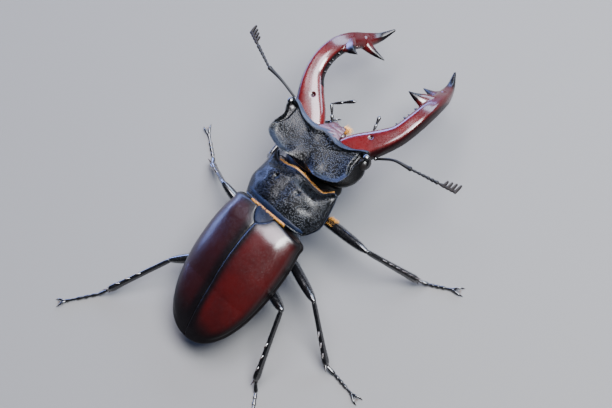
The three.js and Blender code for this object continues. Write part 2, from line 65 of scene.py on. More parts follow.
def seated(seat, pitch=0.0, yaw=0.0):
    turn = Matrix.Rotation(math.radians(yaw), 4, "Z") @ Matrix.Rotation(math.radians(pitch), 4, "X")
    return Matrix.Translation(Vector(seat)) @ turn


scutellum_low, scutellum_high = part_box("scutellum")
waist = (scutellum_low + scutellum_high) / 2
waist.y += SCUTELLUM_MIDDLE * MM
waist.z = 0
IN_LEVEL = Matrix.Translation(waist) @ Matrix.Rotation(math.pi, 4, "Z") @ Matrix.Scale(MM, 4)
IN_TRUNK = IN_LEVEL @ seated((0, 0, TRUNK_HEIGHT), TRUNK_PITCH)
IN_PROTHORAX = IN_TRUNK @ seated(**PROTHORAX)
IN_HEAD = IN_PROTHORAX @ seated(**HEAD)

# ---------------------------------------------------------------- numbers and curves


def lerp(a, b, t):
    return a + (b - a) * t


def clamp(value, low=0.0, high=1.0):
    return max(low, min(high, value))


def smooth(value, low, high):
    t = clamp((value - low) / (high - low))
    return t * t * (3 - 2 * t)


def swell(value, centre, width):
    """1 at the centre, falling away to nothing over a few widths."""
    return math.exp(-(((value - centre) / width) ** 2))


def power(value, exponent):
    return math.copysign(abs(value) ** exponent, value)


def between(a, b, t):
    return tuple(lerp(p, q, t) for p, q in zip(a, b))


class Path:
    """A smooth curve through stations (x, y, z, more...), where the extra numbers ride along."""

    SAMPLES = 240

    def __init__(self, stations, closed=False):
        points = [tuple(map(float, station)) for station in stations]
        count = len(points) if closed else len(points) - 1
        if closed:
            around = [points[-1], *points, points[0], points[1]]
        else:
            before = tuple(2 * a - b for a, b in zip(points[0], points[1]))
            after = tuple(2 * a - b for a, b in zip(points[-1], points[-2]))
            around = [before, *points, after]
        self.table = []
        for i in range(self.SAMPLES + 1):
            share = count * i / self.SAMPLES
            k = min(int(share), count - 1)
            self.table.append(self.curve(*around[k:k + 4], share - k))

    @staticmethod
    def curve(p0, p1, p2, p3, w):
        steps = []
        for a, b in ((p0, p1), (p1, p2), (p2, p3)):
            steps.append(max(sum((a[i] - b[i]) ** 2 for i in range(3)), 1e-8) ** 0.25)
        d0, d1, d2 = steps
        out = []
        for a, b, c, d in zip(p0, p1, p2, p3):
            start = ((b - a) / d0 - (c - a) / (d0 + d1) + (c - b) / d1) * d1
            end = ((c - b) / d1 - (d - b) / (d1 + d2) + (d - c) / d2) * d1
            bend = -3 * b + 3 * c - 2 * start - end
            twist = 2 * b - 2 * c + start + end
            out.append(b + w * (start + w * (bend + w * twist)))
        return out

    def at(self, t):
        share = clamp(t) * self.SAMPLES
        k = min(int(share), self.SAMPLES - 1)
        return [lerp(a, b, share - k) for a, b in zip(self.table[k], self.table[k + 1])]

    def heading(self, t):
        step = 2.0 / self.SAMPLES
        ahead = Vector(self.at(min(t + step, 1))[:3])
        return (ahead - Vector(self.at(max(t - step, 0))[:3])).normalized()


# ---------------------------------------------------------------- moulding


def set_tone(bm, tones):
    layer = bm.verts.layers.float.new("tone")
    for vert, tone in zip(bm.verts, tones):
        vert[layer] = tone


def ball(columns, rows, place):
    """A closed body pushed out of a sphere: place(row, angle) gives each point and its tone."""
    bm = bmesh.new()
    bmesh.ops.create_uvsphere(bm, u_segments=columns, v_segments=rows, radius=1)
    tones = []
    for vert in bm.verts:
        row = round(math.acos(clamp(vert.co.z, -1, 1)) * rows / math.pi)
        angle = math.atan2(vert.co.y, vert.co.x) if 0 < row < rows else 0.0
        point, tone = place(row, angle)
        vert.co = point
        tones.append(tone)
    set_tone(bm, tones)
    bmesh.ops.recalc_face_normals(bm, faces=bm.faces)
    return bm


def sheet(columns, rows, place, wall):
    """A curved plate: place(u, v) gives each point and its tone. The wall thickens it inwards."""
    bm = bmesh.new()
    bmesh.ops.create_grid(bm, x_segments=columns, y_segments=rows, size=1)
    tones = []
    for vert in bm.verts:
        point, tone = place((vert.co.x + 1) / 2, (vert.co.y + 1) / 2)
        vert.co = point
        tones.append(tone)
    set_tone(bm, tones)
    bmesh.ops.remove_doubles(bm, verts=bm.verts, dist=1e-4)
    bmesh.ops.recalc_face_normals(bm, faces=bm.faces)
    upward = sum(face.normal.z * face.calc_area() for face in bm.faces)
    if upward < 0:
        bmesh.ops.reverse_faces(bm, faces=bm.faces)
    bmesh.ops.solidify(bm, geom=bm.faces[:], thickness=wall)
    return bm


def round_section(angle, _):
    return math.cos(angle), math.sin(angle)


END_ROWS = 3                        # rows that round off each end of a horn or limb
THINNEST = 0.02


def sweep(stations, columns, rows, section=round_section, tone=None, blunt=0.8):
    """A horn or limb through stations (x, y, z, half width, half height), with rounded ends."""
    path = Path(stations)
    rings = []
    for row in range(rows + 1):
        lead = min(row, rows - row)
        turn = clamp(lead / END_ROWS) * math.pi / 2
        u = clamp((row - END_ROWS) / (rows - 2 * END_ROWS))
        x, y, z, width, height = path.at(u)
        heading = path.heading(u)
        across = heading.cross(Vector((0, 0, 1))).normalized()
        above = across.cross(heading).normalized()
        width, height = max(width, THINNEST), max(height, THINNEST)
        reach = min(width, height) * blunt * math.cos(turn) * (-1 if row < rows / 2 else 1)
        centre = Vector((x, y, z)) + heading * reach
        rings.append((u, centre, across * width * math.sin(turn), above * height * math.sin(turn)))

    def place(row, angle):
        u, centre, across, above = rings[row]
        a, b = section(angle, u)
        return centre + across * a + above * b, tone(u, angle) if tone else 0.0

    return ball(columns, rows, place)


def ellipsoid(seat, radii, columns, rows, tone=0.0):
    def place(row, angle):
        polar = math.pi * row / rows
        out = (math.sin(polar) * math.cos(angle), math.sin(polar) * math.sin(angle), math.cos(polar))
        return Vector([s + r * o for s, r, o in zip(seat, radii, out)]), tone

    return ball(columns, rows, place)


THORN_TIP = 0.05


def thorn(seat, direction, length, radius, bend=(0, 0, 0), columns=10, rows=12):
    """A curved spine or tooth that tapers to a point."""
    seat, direction, bend = Vector(seat), Vector(direction).normalized(), Vector(bend)
    stations = []
    for t in (0, 0.35, 0.7, 1):
        place = seat + direction * length * t + bend * t * t
        girth = lerp(radius, THORN_TIP, t ** 1.3)
        stations.append((*place, girth, girth))
    return sweep(stations, columns, rows, tone=lambda u, _: smooth(u, 0.2, 0.8))


def mirrored(side, stations):
    return [(side * station[0], *station[1:]) for station in stations]


# ---------------------------------------------------------------- pieces


def mesh_of(parts, place):
    """One mesh in metres from shapes in millimetres: parts are (shape, finish) pairs."""
    joined = bmesh.new()
    joined.verts.layers.float.new("tone")
    finishes = []
    for shape, finish in parts:
        if finish not in finishes:
            finishes.append(finish)
        for face in shape.faces:
            face.material_index = finishes.index(finish)
            face.smooth = True
        scratch = bpy.data.meshes.new("scratch")
        shape.to_mesh(scratch)
        shape.free()
        joined.from_mesh(scratch)
        bpy.data.meshes.remove(scratch)
    mesh = bpy.data.meshes.new("shape")
    joined.to_mesh(mesh)
    joined.free()
    mesh.transform(place)
    for finish in finishes:
        mesh.materials.append(finish)
    return mesh


def settle(name, mesh, nodes=()):
    """A finished piece: named, shown, riding on the beetle, standing for its CAD nodes."""
    mesh.name = name
    piece = bpy.data.objects.new(name, mesh)
    bpy.context.scene.collection.objects.link(piece)
    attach(piece, "root")
    if nodes:
        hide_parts(*nodes)
    return piece


def piece(name, parts, place, slot, *nodes):
    return settle(name, mesh_of(parts, place), nodes)


# ---------------------------------------------------------------- node groups


def node_group(name, inputs, outputs):
    tree = bpy.data.node_groups.new(name, "ShaderNodeTree")
    for label, value in inputs.items():
        socket = tree.interface.new_socket(label, in_out="INPUT", socket_type="NodeSocketFloat")
        socket.default_value = value
    for label in outputs:
        tree.interface.new_socket(label, in_out="OUTPUT", socket_type="NodeSocketFloat")
    return tree, tree.nodes.new("NodeGroupInput").outputs, tree.nodes.new("NodeGroupOutput").inputs


def wire(tree, value, socket):
    if isinstance(value, bpy.types.NodeSocket):
        tree.links.new(value, socket)
    else:
        socket.default_value = value


def maths(tree, operation, *values):
    step = tree.nodes.new("ShaderNodeMath")
    step.operation = operation
    for value, socket in zip(values, step.inputs):
        wire(tree, value, socket)
    return step.outputs[0]


def stretch(tree, value, from_low, from_high, to_low=0.0, to_high=1.0):
    """Maps a value from one range to another, eased and kept inside."""
    step = tree.nodes.new("ShaderNodeMapRange")
    step.interpolation_type = "SMOOTHSTEP"
    for key, number in zip(range(5), (value, from_low, from_high, to_low, to_high)):
        wire(tree, number, step.inputs[key])
    return step.outputs[0]


def in_millimetres(tree):
    """Object coordinates, in millimetres."""
    place = tree.nodes.new("ShaderNodeTexCoord").outputs["Object"]
    scaled = tree.nodes.new("ShaderNodeVectorMath")
    scaled.operation = "SCALE"
    tree.links.new(place, scaled.inputs[0])
    scaled.inputs["Scale"].default_value = 1 / MM
    return scaled.outputs[0]


def cells(tree, vector, scale):
    """How far each place is from the middle of the nearest cell."""
    step = tree.nodes.new("ShaderNodeTexVoronoi")
    step.feature = "F1"
    tree.links.new(vector, step.inputs["Vector"])
    wire(tree, scale, step.inputs["Scale"])
    return step.outputs["Distance"]


def cloud(tree, vector, scale, detail, roughness=0.55):
    """A soft uneven pattern from 0 to 1."""
    step = tree.nodes.new("ShaderNodeTexNoise")
    tree.links.new(vector, step.inputs["Vector"])
    wire(tree, scale, step.inputs["Scale"])
    step.inputs["Detail"].default_value = detail
    step.inputs["Roughness"].default_value = roughness
    return step.outputs["Fac"]


def horn_grain_group():
    """The fine relief of horn: raised grains, sunk punctures and a faint skin of wrinkles, and the grain tops
    where a painted glint is laid.
    """
    tree, given, out = node_group(
        "horn_grain",
        {"Grain Size": 0.16, "Grains": 0.0, "Puncture Size": 0.3, "Punctures": 0.0, "Wrinkles": 0.2},
        ("Height", "Painted Glint"),
    )
    place = in_millimetres(tree)
    grain = cells(tree, place, maths(tree, "DIVIDE", 1.0, given["Grain Size"]))
    dome = stretch(tree, grain, 0.58, 0.2)
    pit = cells(tree, place, maths(tree, "DIVIDE", 1.0, given["Puncture Size"]))
    hollow = stretch(tree, pit, 0.08, 0.34)
    wrinkle = cloud(tree, place, 5.0, 4.0, 0.65)
    height = maths(tree, "MULTIPLY", dome, given["Grains"])
    height = maths(tree, "ADD", height, maths(tree, "MULTIPLY", hollow, given["Punctures"]))
    height = maths(tree, "ADD", height, maths(tree, "MULTIPLY", wrinkle, given["Wrinkles"]))
    wire(tree, height, out["Height"])
    wire(tree, maths(tree, "MULTIPLY", dome, hollow), out["Painted Glint"])
    return tree


def horn_shade_group():
    """The piece's own tone, broken up a little, and a slow mottle: positive tone gives the edge-colour share,
    negative tone the share of black painted shade.
    """
    tree, given, out = node_group(
        "horn_shade", {"Mottle Size": 3.0, "Break Up": 0.25}, ("Dark", "Painted Shade", "Mottle", "Polish")
    )
    place = in_millimetres(tree)
    tone = tree.nodes.new("ShaderNodeAttribute")
    tone.attribute_name = "tone"
    mottle = cloud(tree, place, maths(tree, "DIVIDE", 1.0, given["Mottle Size"]), 4.0)
    shift = maths(tree, "MULTIPLY", maths(tree, "SUBTRACT", mottle, 0.5), given["Break Up"])
    dark = maths(tree, "ADD", tone.outputs["Fac"], shift)
    wire(tree, stretch(tree, dark, 0.02, 0.98), out["Dark"])
    wire(tree, stretch(tree, dark, -0.02, -0.95), out["Painted Shade"])
    wire(tree, stretch(tree, mottle, 0.3, 0.7), out["Mottle"])
    wire(tree, cloud(tree, place, 1.7, 5.0, 0.7), out["Polish"])
    return tree


HORN_GRAIN = horn_grain_group()
HORN_SHADE = horn_shade_group()


def use_group(tree, group, **values):
    step = tree.nodes.new("ShaderNodeGroup")
    step.node_tree = group
    for label, value in values.items():
        step.inputs[label.replace("_", " ")].default_value = value
    return step.outputs


def blend_colours(tree, mask, first, second):
    mix = tree.nodes.new("ShaderNodeMix")
    mix.data_type = "RGBA"
    wire(tree, mask, mix.inputs[0])
    for colour, socket in ((first, mix.inputs[6]), (second, mix.inputs[7])):
        wire(tree, colour if isinstance(colour, bpy.types.NodeSocket) else (*colour, 1), socket)
    return mix.outputs[2]


# Black painted shade where tone is negative, a little smoother there.
PAINTED_SHADE_BLACK = (0.0003, 0.0003, 0.0004)
PAINTED_SHADE_POLISH = 0.06


def horn(name, body, deep, edge, roughness, bump, coat=0.0, coat_roughness=0.1, bump_depth=0.02,
         painted_glint=None, specular=0.5, edge_smooth=0.0, grain=None, shade=None):
    """A horn finish: a mottled body colour, the edge colour where tone is 1 and black painted shade where it
    is -1.

    The bump's depth is in millimetres, and edge_smooth is the share of it that toned edges lose.
    """
    material = bpy.data.materials.new(name)
    material.use_nodes = True
    tree = material.node_tree
    shader = tree.nodes["Principled BSDF"]
    relief = use_group(tree, HORN_GRAIN, **(grain or {}))
    tones = use_group(tree, HORN_SHADE, **(shade or {}))
    colour = blend_colours(tree, tones["Mottle"], deep, body)
    # A painted glint: a paler colour on the grain tops, standing in for grains catching the light.
    if painted_glint:
        colour = blend_colours(tree, relief["Painted Glint"], colour, painted_glint)
    colour = blend_colours(tree, tones["Dark"], colour, edge)
    colour = blend_colours(tree, tones["Painted Shade"], colour, PAINTED_SHADE_BLACK)
    tree.links.new(colour, shader.inputs["Base Color"])
    rough = stretch(tree, tones["Polish"], 0.3, 0.7, roughness[0], roughness[1])
    rough = maths(tree, "SUBTRACT", rough, maths(tree, "MULTIPLY", tones["Painted Shade"], PAINTED_SHADE_POLISH))
    tree.links.new(rough, shader.inputs["Roughness"])
    bump_node = tree.nodes.new("ShaderNodeBump")
    bump_node.inputs["Strength"].default_value = bump
    bump_node.inputs["Distance"].default_value = bump_depth * MM
    height = relief["Height"]
    if edge_smooth:
        plain_share = maths(tree, "SUBTRACT", 1.0, maths(tree, "MULTIPLY", tones["Dark"], edge_smooth))
        height = maths(tree, "MULTIPLY", height, plain_share)
    tree.links.new(height, bump_node.inputs["Height"])
    tree.links.new(bump_node.outputs["Normal"], shader.inputs["Normal"])
    if coat:
        bare = maths(tree, "SUBTRACT", 1.0, tones["Dark"])
        tree.links.new(maths(tree, "MULTIPLY", bare, coat), shader.inputs["Coat Weight"])
    shader.inputs["Coat Roughness"].default_value = coat_roughness
    shader.inputs["Specular IOR Level"].default_value = specular
    return material


# Its edge colour, a pale blue-grey, is painted sheen on the rims, beads, chamfer and lobes; its speckle
# colour is the painted glint on the grains.
granulate_horn = horn(
    "granulate_black_horn", (0.0006, 0.0007, 0.0009), (0.0004, 0.0004, 0.0006), (0.012, 0.016, 0.028),
    (0.27, 0.35), bump=0.65, bump_depth=0.06, painted_glint=(0.010, 0.012, 0.016), specular=0.17, edge_smooth=0.8,
    grain=dict(Grain_Size=0.27, Grains=1.0, Wrinkles=0.15), shade=dict(Mottle_Size=2.5, Break_Up=0.06),
)
chestnut_horn = horn(
    "chestnut_wing_horn", (0.020, 0.0009, 0.0010), (0.012, 0.0008, 0.001), (0.001, 0.0006, 0.0008),
    (0.3, 0.4), coat=0.5, coat_roughness=0.22, bump=0.8, bump_depth=0.02, specular=0.26,
    grain=dict(Puncture_Size=0.28, Punctures=1.0, Wrinkles=0.5), shade=dict(Mottle_Size=5, Break_Up=0.25),
)
red_horn = horn(
    "polished_red_horn", (0.046, 0.001, 0.0011), (0.028, 0.0008, 0.001), (0.0008, 0.0005, 0.0008),
    (0.24, 0.34), coat=0.9, coat_roughness=0.14, bump=0.25, bump_depth=0.014, specular=0.2,
    grain=dict(Puncture_Size=0.5, Punctures=0.5, Wrinkles=0.6), shade=dict(Mottle_Size=3, Break_Up=0.3),
)
limb_horn = horn(
    "polished_black_horn", (0.002, 0.002, 0.0026), (0.001, 0.001, 0.0013), (0.007, 0.002, 0.0013),
    (0.18, 0.3), coat=0.7, coat_roughness=0.1, bump=0.3, bump_depth=0.012,
    grain=dict(Puncture_Size=0.35, Punctures=0.8, Wrinkles=0.5),
)
belly_horn = horn(
    "brown_black_horn", (0.010, 0.005, 0.004), (0.005, 0.003, 0.003), (0.003, 0.002, 0.002),
    (0.28, 0.42), bump=0.5, bump_depth=0.02,
    grain=dict(Puncture_Size=0.3, Punctures=1.0, Wrinkles=0.8),
)
neck_horn = horn(
    "black_neck_horn", (0.002, 0.002, 0.0025), (0.001, 0.001, 0.0012), (0.001, 0.001, 0.001),
    (0.4, 0.55), bump=0.5, bump_depth=0.02, specular=0.2, grain=dict(Wrinkles=1.0),
)
downy_horn = horn(
    "dull_club_horn", (0.005, 0.0035, 0.0035), (0.003, 0.002, 0.002), (0.002, 0.0015, 0.0015),
    (0.5, 0.65), bump=0.6, bump_depth=0.02, specular=0.18,
    grain=dict(Grain_Size=0.08, Grains=1.0, Wrinkles=0.5),
)
plate_horn = horn(
    "punctured_blue_black_horn", (0.004, 0.007, 0.018), (0.002, 0.003, 0.007), (0.002, 0.002, 0.003),
    (0.36, 0.5), bump=1.0, bump_depth=0.05, specular=0.1,
    grain=dict(Puncture_Size=0.36, Punctures=1.0, Wrinkles=0.5),
)
lip_horn = horn(
    "rosy_lip_horn", (0.052, 0.022, 0.030), (0.028, 0.008, 0.012), (0.008, 0.003, 0.003),
    (0.28, 0.42), bump=0.7, bump_depth=0.03, grain=dict(Puncture_Size=0.3, Punctures=1.0, Wrinkles=0.8),
)
eye_horn = horn(
    "faceted_eye", (0.006, 0.005, 0.005), (0.003, 0.0025, 0.0025), (0.002, 0.002, 0.002),
    (0.3, 0.4), coat=0.15, coat_roughness=0.12, bump=0.4, bump_depth=0.006, specular=0.3,
    grain=dict(Grain_Size=0.05, Grains=1.0, Wrinkles=0.0),
)
golden_hair = horn(
    "golden_hair", (0.32, 0.13, 0.012), (0.19, 0.06, 0.005), (0.46, 0.22, 0.035),
    (0.35, 0.5), bump=0.0, shade=dict(Mottle_Size=0.5, Break_Up=0.4),
)
brown_bristle = horn(
    "brown_bristle", (0.04, 0.015, 0.006), (0.018, 0.007, 0.004), (0.07, 0.03, 0.009),
    (0.35, 0.5), bump=0.0, shade=dict(Mottle_Size=0.5, Break_Up=0.5),
)

# ---------------------------------------------------------------- wing cases

# Lengths run backwards from the waist, so the wing cases begin at `base` and end at `length`.
ELYTRA = dict(length=30.3, base=1.0, half_width=9.75, base_half_width=8.3, widest=11.0, shoulder=4.6,
              crown=0.99, wall=0.4, lip_share=0.12, nose_share=0.035, nose_radius=0.55)
SUTURE_GAP = 0.035
SCUTELLUM = dict(front=0.7, tip=3.9, half_width=2.3, wall=0.5)


def scutellum_half_width(t):
    s = (t - SCUTELLUM["front"]) / (SCUTELLUM["tip"] - SCUTELLUM["front"])
    if s >= 1:
        return 0.0
    s = max(s, 0)
    return SCUTELLUM["half_width"] * (1 - s ** 1.9) ** 0.8


def back_half_width(t):
    if t <= ELYTRA["widest"]:
        rise = math.sin(max(t, 0) / ELYTRA["widest"] * math.pi / 2) ** 0.9
        return lerp(ELYTRA["base_half_width"], ELYTRA["half_width"], rise) + 0.3 * swell(t, 1.5, 0.8)
    s = clamp((t - ELYTRA["widest"]) / (ELYTRA["length"] - ELYTRA["widest"]))
    return ELYTRA["half_width"] * (1 - s ** 2.35) ** (1 / 2.2)


def back_height(t):
    f = t / ELYTRA["length"]
    rise = ELYTRA["crown"] * math.sin(math.pi * min(f / 0.62, 1))
    fall = ELYTRA["shoulder"] * clamp((f - 0.35) / 0.65) ** 2.4
    return ELYTRA["shoulder"] + rise - fall


def elytron(side):
    """One wing case: a domed plate with a sutural bead, a beaded side margin and a turned-under lip."""
    lip_share = ELYTRA["lip_share"]     # of the width, turned under the side edge
    nose = ELYTRA["nose_share"]         # of the length, rounded over the front edge
    nose_radius = ELYTRA["nose_radius"]

    def place(u, v):
        k = clamp(u / nose)
        over = math.sin(k * math.pi / 2)
        start = ELYTRA["base"] + nose_radius * (1 - math.cos(k * math.pi / 2))
        run = clamp((u - nose) / (1 - nose))
        t = start + (ELYTRA["length"] - start) * (1 - (1 - run) ** 1.5)
        inset = nose_radius * (1 - over) * 1.6
        width = max(back_half_width(t) - inset * 0.4, 0)
        height = max(back_height(t) - inset - 0.75 * (1 - smooth(t, 0.6, 5.5)), 0)
        square = lerp(0.72, 0.85, smooth(t, 1, 12))
        theta = math.pi / 2 * (1 - clamp(v / (1 - lip_share)))
        notch = scutellum_half_width(t) + SUTURE_GAP
        inner = min(notch, width)
        x = inner + (width - inner) * power(math.cos(theta), square)
        level = clamp(x / max(width, 1e-6)) ** (1 / square)
        z = height * math.sqrt(max(1 - level * level, 0)) ** square
        fullness = smooth(width, 0, 3)
        rim = swell(z, 0.16, 0.22) * 0.15 - swell(z, 0.68, 0.2) * 0.10
        x += rim * fullness
        seam = x - notch
        z += (swell(seam, 0.12, 0.11) * 0.02 - swell(seam, 0.42, 0.16) * 0.02) * smooth(z, 0.5, 2)
        z -= 0.04 * (1 - smooth(seam, 0.0, 0.05)) * smooth(z, 0.5, 2)
        z += swell(t, 4.2, 2.4) * swell(x, 6.2, 1.3) * 0.22          # the humeral swelling
        if v > 1 - lip_share:
            q = (v - 1 + lip_share) / lip_share
            x -= 1.4 * q * q * fullness
            z -= 0.45 * math.sin(q * math.pi / 2) * fullness
        set_back = 0.9 * (x / ELYTRA["base_half_width"]) ** 2 * (1 - smooth(t, ELYTRA["base"], 9))
        ripple = noise.noise(Vector((x * 0.5, t * 0.35, side * 3))) * 0.035 * smooth(z, 0.8, 2)
        point = Vector((side * x, -t - set_back, z + ripple))
        # Tone: black bands at the suture, margin, base and apex are the wing case's own colour; the left
        # case's red is also cut to 0.4, painted shade, as the light falls from the beetle's right.
        from_margin = math.hypot(max(width - x, 0), z * 0.6)
        light = smooth(from_margin, 0.2, 2.4) * smooth(seam, -0.1, 2.4) * smooth(t, 0.8, 2.6)
        light *= 1 - smooth(t, 22.0, 29.5)
        return point, 1 - light * (1.0 if side > 0 else 0.4)

    return sheet(170, 110, place, ELYTRA["wall"])


def scutellum():
    """The heart-shaped plate between the bases of the wing cases."""

    def place(u, v):
        across = 2 * u - 1
        t = lerp(SCUTELLUM["front"], SCUTELLUM["tip"], v)
        x = scutellum_half_width(t) * across
        edge = max(abs(across) ** 4, smooth(v, 0.85, 1), 1 - smooth(v, 0.0, 0.08))
        z = 3.75 + 0.29 * t + 0.12 * (1 - edge) - 0.12 * swell(v, 0.5, 0.3) * (1 - edge)
        return Vector((x, -t, z - 0.15 * edge)), 0.6 * edge

    return sheet(40, 36, place, SCUTELLUM["wall"])


for hand, side in (("right", 1), ("left", -1)):
    piece(f"wing_case_{hand}", [(elytron(side), chestnut_horn)], IN_TRUNK, "wing_case", f"elytron_{hand}")
piece("scutellum_plate", [(scutellum(), plate_horn)], IN_TRUNK, "shield", "scutellum")

# ---------------------------------------------------------------- hind thorax and abdomen

WAIST = dict(seat=(0, 0.2, -0.4), radii=(5.4, 2.6, 3.6))
SEGMENT_BREAK = 12.0                # behind the waist, where the thorax ends and the abdomen begins
BELLY_INSET = 1.35
BELLY_END = 0.3                     # share of the full girth at which a closed end starts


def belly_point(t, angle):
    """The body under the wing cases: flat-sided below, keeled along the middle."""
    width = max(back_half_width(t) - BELLY_INSET, THINNEST)
    top = max(back_height(t) - BELLY_INSET - 0.3, THINNEST)
    c, s = math.cos(angle), math.sin(angle)
    if s >= 0:
        return width * power(c, 0.85), top * power(s, 0.85)
    keel = lerp(5.3, 1.4, smooth(t, 10, ELYTRA["length"]) ** 1.3)
    return width * power(c, 1.25), keel * power(s, 1.6)


def belly(start, end, rings):
    """A stretch of the hind body, ringed where its plates overlap."""
    rows, caps = 72, 5

    def place(row, angle):
        lead = min(row, rows - row)
        turn = clamp(lead / caps) * math.pi / 2
        t = lerp(start, end, clamp((row - caps) / (rows - 2 * caps)))
        x, z = belly_point(t, angle)
        shrink = lerp(BELLY_END, 1, math.sin(turn))
        step = 0.0
        for ring in rings:
            step += 0.16 * smooth(t, ring - 1.6, ring) * (1 - smooth(t, ring, ring + 0.18))
        out = 1 + step / max(math.hypot(x, z), 1)
        push = (math.cos(turn) * 0.5) * (-1 if row < rows / 2 else 1)
        groove = 0.12 * swell(x, 0, 0.25) * (1 if math.sin(angle) < 0 and end < 14 else 0)
        if row in (0, rows):
            x = z = 0
        return Vector((x * shrink * out, -t - push, z * shrink * out + groove)), 0.0

    return ball(96, rows, place)


COLLAR = dict(seat=(0, 0.2, 1.1), radii=(7.7, 1.9, 3.2))
thorax_parts = [
    (ellipsoid(COLLAR["seat"], COLLAR["radii"], 64, 36), plate_horn),
    (belly(1.9, SEGMENT_BREAK - 0.1, (5.2,)), belly_horn),
    (ellipsoid(WAIST["seat"], WAIST["radii"], 48, 28), belly_horn),
]
piece("hind_thorax_body", thorax_parts, IN_TRUNK, "underside", "thorax_hind")
abdomen_parts = [(belly(SEGMENT_BREAK + 0.1, 28.0, (14.6, 17.6, 20.6, 23.6, 26.2)), belly_horn)]
piece("abdomen_body", abdomen_parts, IN_TRUNK, "underside", "abdomen")

# ---------------------------------------------------------------- prothorax

PRONOTUM = dict(rear=-1.5, front=7.65, half_width=9.0, margin=0.1, corner=1.2, crown=4.9,
                end_crown=3.1, depth=4.4, wall=0.45)
NECK = dict(seat=(0, 9.2, -0.9), radii=(7.0, 3.2, 3.1))


def pronotum_margin(s):
    """Height of the sharp side edge."""
    return lerp(PRONOTUM["margin"], PRONOTUM["corner"], ((s - 0.45) / 0.55) ** 2)


def pronotum_fullness(s):
    """1 in the middle of the segment's length, less towards its front and rear edges."""
    return math.sin(math.pi * clamp(s, 0.03, 0.97)) ** 0.45


def pronotum_half_width(s):
    widest, rear, front = 0.42, 7.6, 7.9
    if s < widest:
        return lerp(rear, PRONOTUM["half_width"], math.sin(s / widest * math.pi / 2) ** 1.3)
    return lerp(PRONOTUM["half_width"], front, ((s - widest) / (1 - widest)) ** 1.15)


def pronotum_point(s, angle):
    """A point of the back plate: s from 0 at its rear edge to 1 at its front, angle over the back."""
    margin = pronotum_margin(s)
    across = power(math.cos(angle), 0.95)
    crown = lerp(PRONOTUM["end_crown"], PRONOTUM["crown"], pronotum_fullness(s))
    x = pronotum_half_width(s) * across
    z = margin + (crown - margin) * power(math.sin(angle), 1.05)
    saddle = 1.4 + 2.3 * swell(x, 0, 3.1)
    z = lerp(z, min(z, saddle), smooth(s, 0.72, 1.0))
    bend = abs(across + 0.06)
    bow = (1.5 * smooth(bend, 0.7, 1.0) ** 1.2 - 0.5 * smooth(bend, 0.1, 0.6)) * smooth(s, 0.45, 1)
    return x, lerp(PRONOTUM["rear"], PRONOTUM["front"], s) + bow, z


def pronotum():
    """The ridged back plate, beaded on every edge, with a sunk midline and two pits, and painted tone: sheen
    on the edges, shade over the middle.
    """

    def place(u, s):
        angle = math.pi * (1 - u)
        x, y, z = pronotum_point(s, angle)
        side = math.sin(angle)
        bead = 0.1 * swell(s, 0.012, 0.012) - 0.05 * swell(s, 0.045, 0.014)
        bead += 0.16 * swell(s, 0.985, 0.016) - 0.16 * swell(s, 0.945, 0.018)
        z += bead * smooth(side, 0.05, 0.3)
        y -= 0.35 * (1 - smooth(s, 0.0, 0.25)) * smooth(side, 0.2, 0.7)
        lateral = 0.2 * swell(side, 0.0, 0.07) - 0.12 * swell(side, 0.17, 0.05)
        x += math.copysign(lateral, x) * smooth(s, 0.02, 0.08) * (1 - smooth(s, 0.93, 0.99))
        z -= 0.1 * swell(x, 0, 0.8) * smooth(s, 0.1, 0.25) * (1 - smooth(s, 0.75, 0.92))
        z -= 0.42 * swell(x, 0, 2.4) * swell(s, 0.55, 0.27)
        for pit in (-1, 1):
            z -= 0.34 * swell(x, pit * 2.9, 0.42) * swell(y, 4.2, 0.4)
            z -= 0.3 * swell(x, pit * 5.9, 1.0) * swell(y, 2.6, 0.9)
            z += 0.16 * swell(x, pit * 4.6, 1.5) * swell(y, 5.0, 1.6)
        z += noise.noise(Vector((x * 0.8, y * 0.8, 7))) * 0.07 * side
        # Tone: a painted pale sheen along the beads and side margins, and black painted shade over the middle
        # and left part of the disc.
        edge = max(swell(s, 0.985, 0.012), 0.4 * swell(s, 0.01, 0.012), swell(side, 0, 0.045))
        middle = swell(x, -3.0, 3.0) * smooth(s, 0.02, 0.15) * (1 - 0.4 * smooth(s, 0.85, 0.97))
        return Vector((x, y, z)), 0.8 * edge - 0.9 * middle * (1 - edge)

    return sheet(200, 120, place, PRONOTUM["wall"])


def prosternum():
    """The underside of the same segment, closed above inside the back plate."""
    rows, caps = 60, 8

    def place(row, angle):
        turn = clamp(min(row, rows - row) / caps) * math.pi / 2
        s = lerp(0.1, 0.93, clamp((row - caps) / (rows - 2 * caps)))
        x, y, z = pronotum_point(s, abs(angle))
        rise = math.sin(angle)
        margin = pronotum_margin(s)
        if rise < 0:
            across = math.cos(angle)
            x = (pronotum_half_width(s) - 0.35) * power(across, 1.05)
            z = margin - 0.2 + PRONOTUM["depth"] * rise * lerp(0.82, 1, pronotum_fullness(s))
        else:
            x *= 0.93
            z = margin + (z - margin) * 0.82 - 0.3
        shrink = math.sin(turn)
        push = 0.5 * math.cos(turn) * (-1 if row < rows / 2 else 1)
        middle = Vector((0, y, 0.5))
        point = middle.lerp(Vector((x, y, z)), lerp(0.5, 1, shrink) if row not in (0, rows) else 0)
        point.y += push
        return point, 0.0

    return ball(80, rows, place)


piece("pronotum_plate", [(pronotum(), granulate_horn)], IN_PROTHORAX, "shield", "pronotum")
piece("prosternum_body", [(prosternum(), belly_horn)], IN_PROTHORAX, "underside", "prosternum")

# ---------------------------------------------------------------- head

CROWN = Vector((0, 1.6, -0.75))
CHIN = Vector((0, 2.2, -6.6))
CHAMFER = dict(reach=0.75, drop=0.35, band=0.38)   # its band is a share of the rows down the side

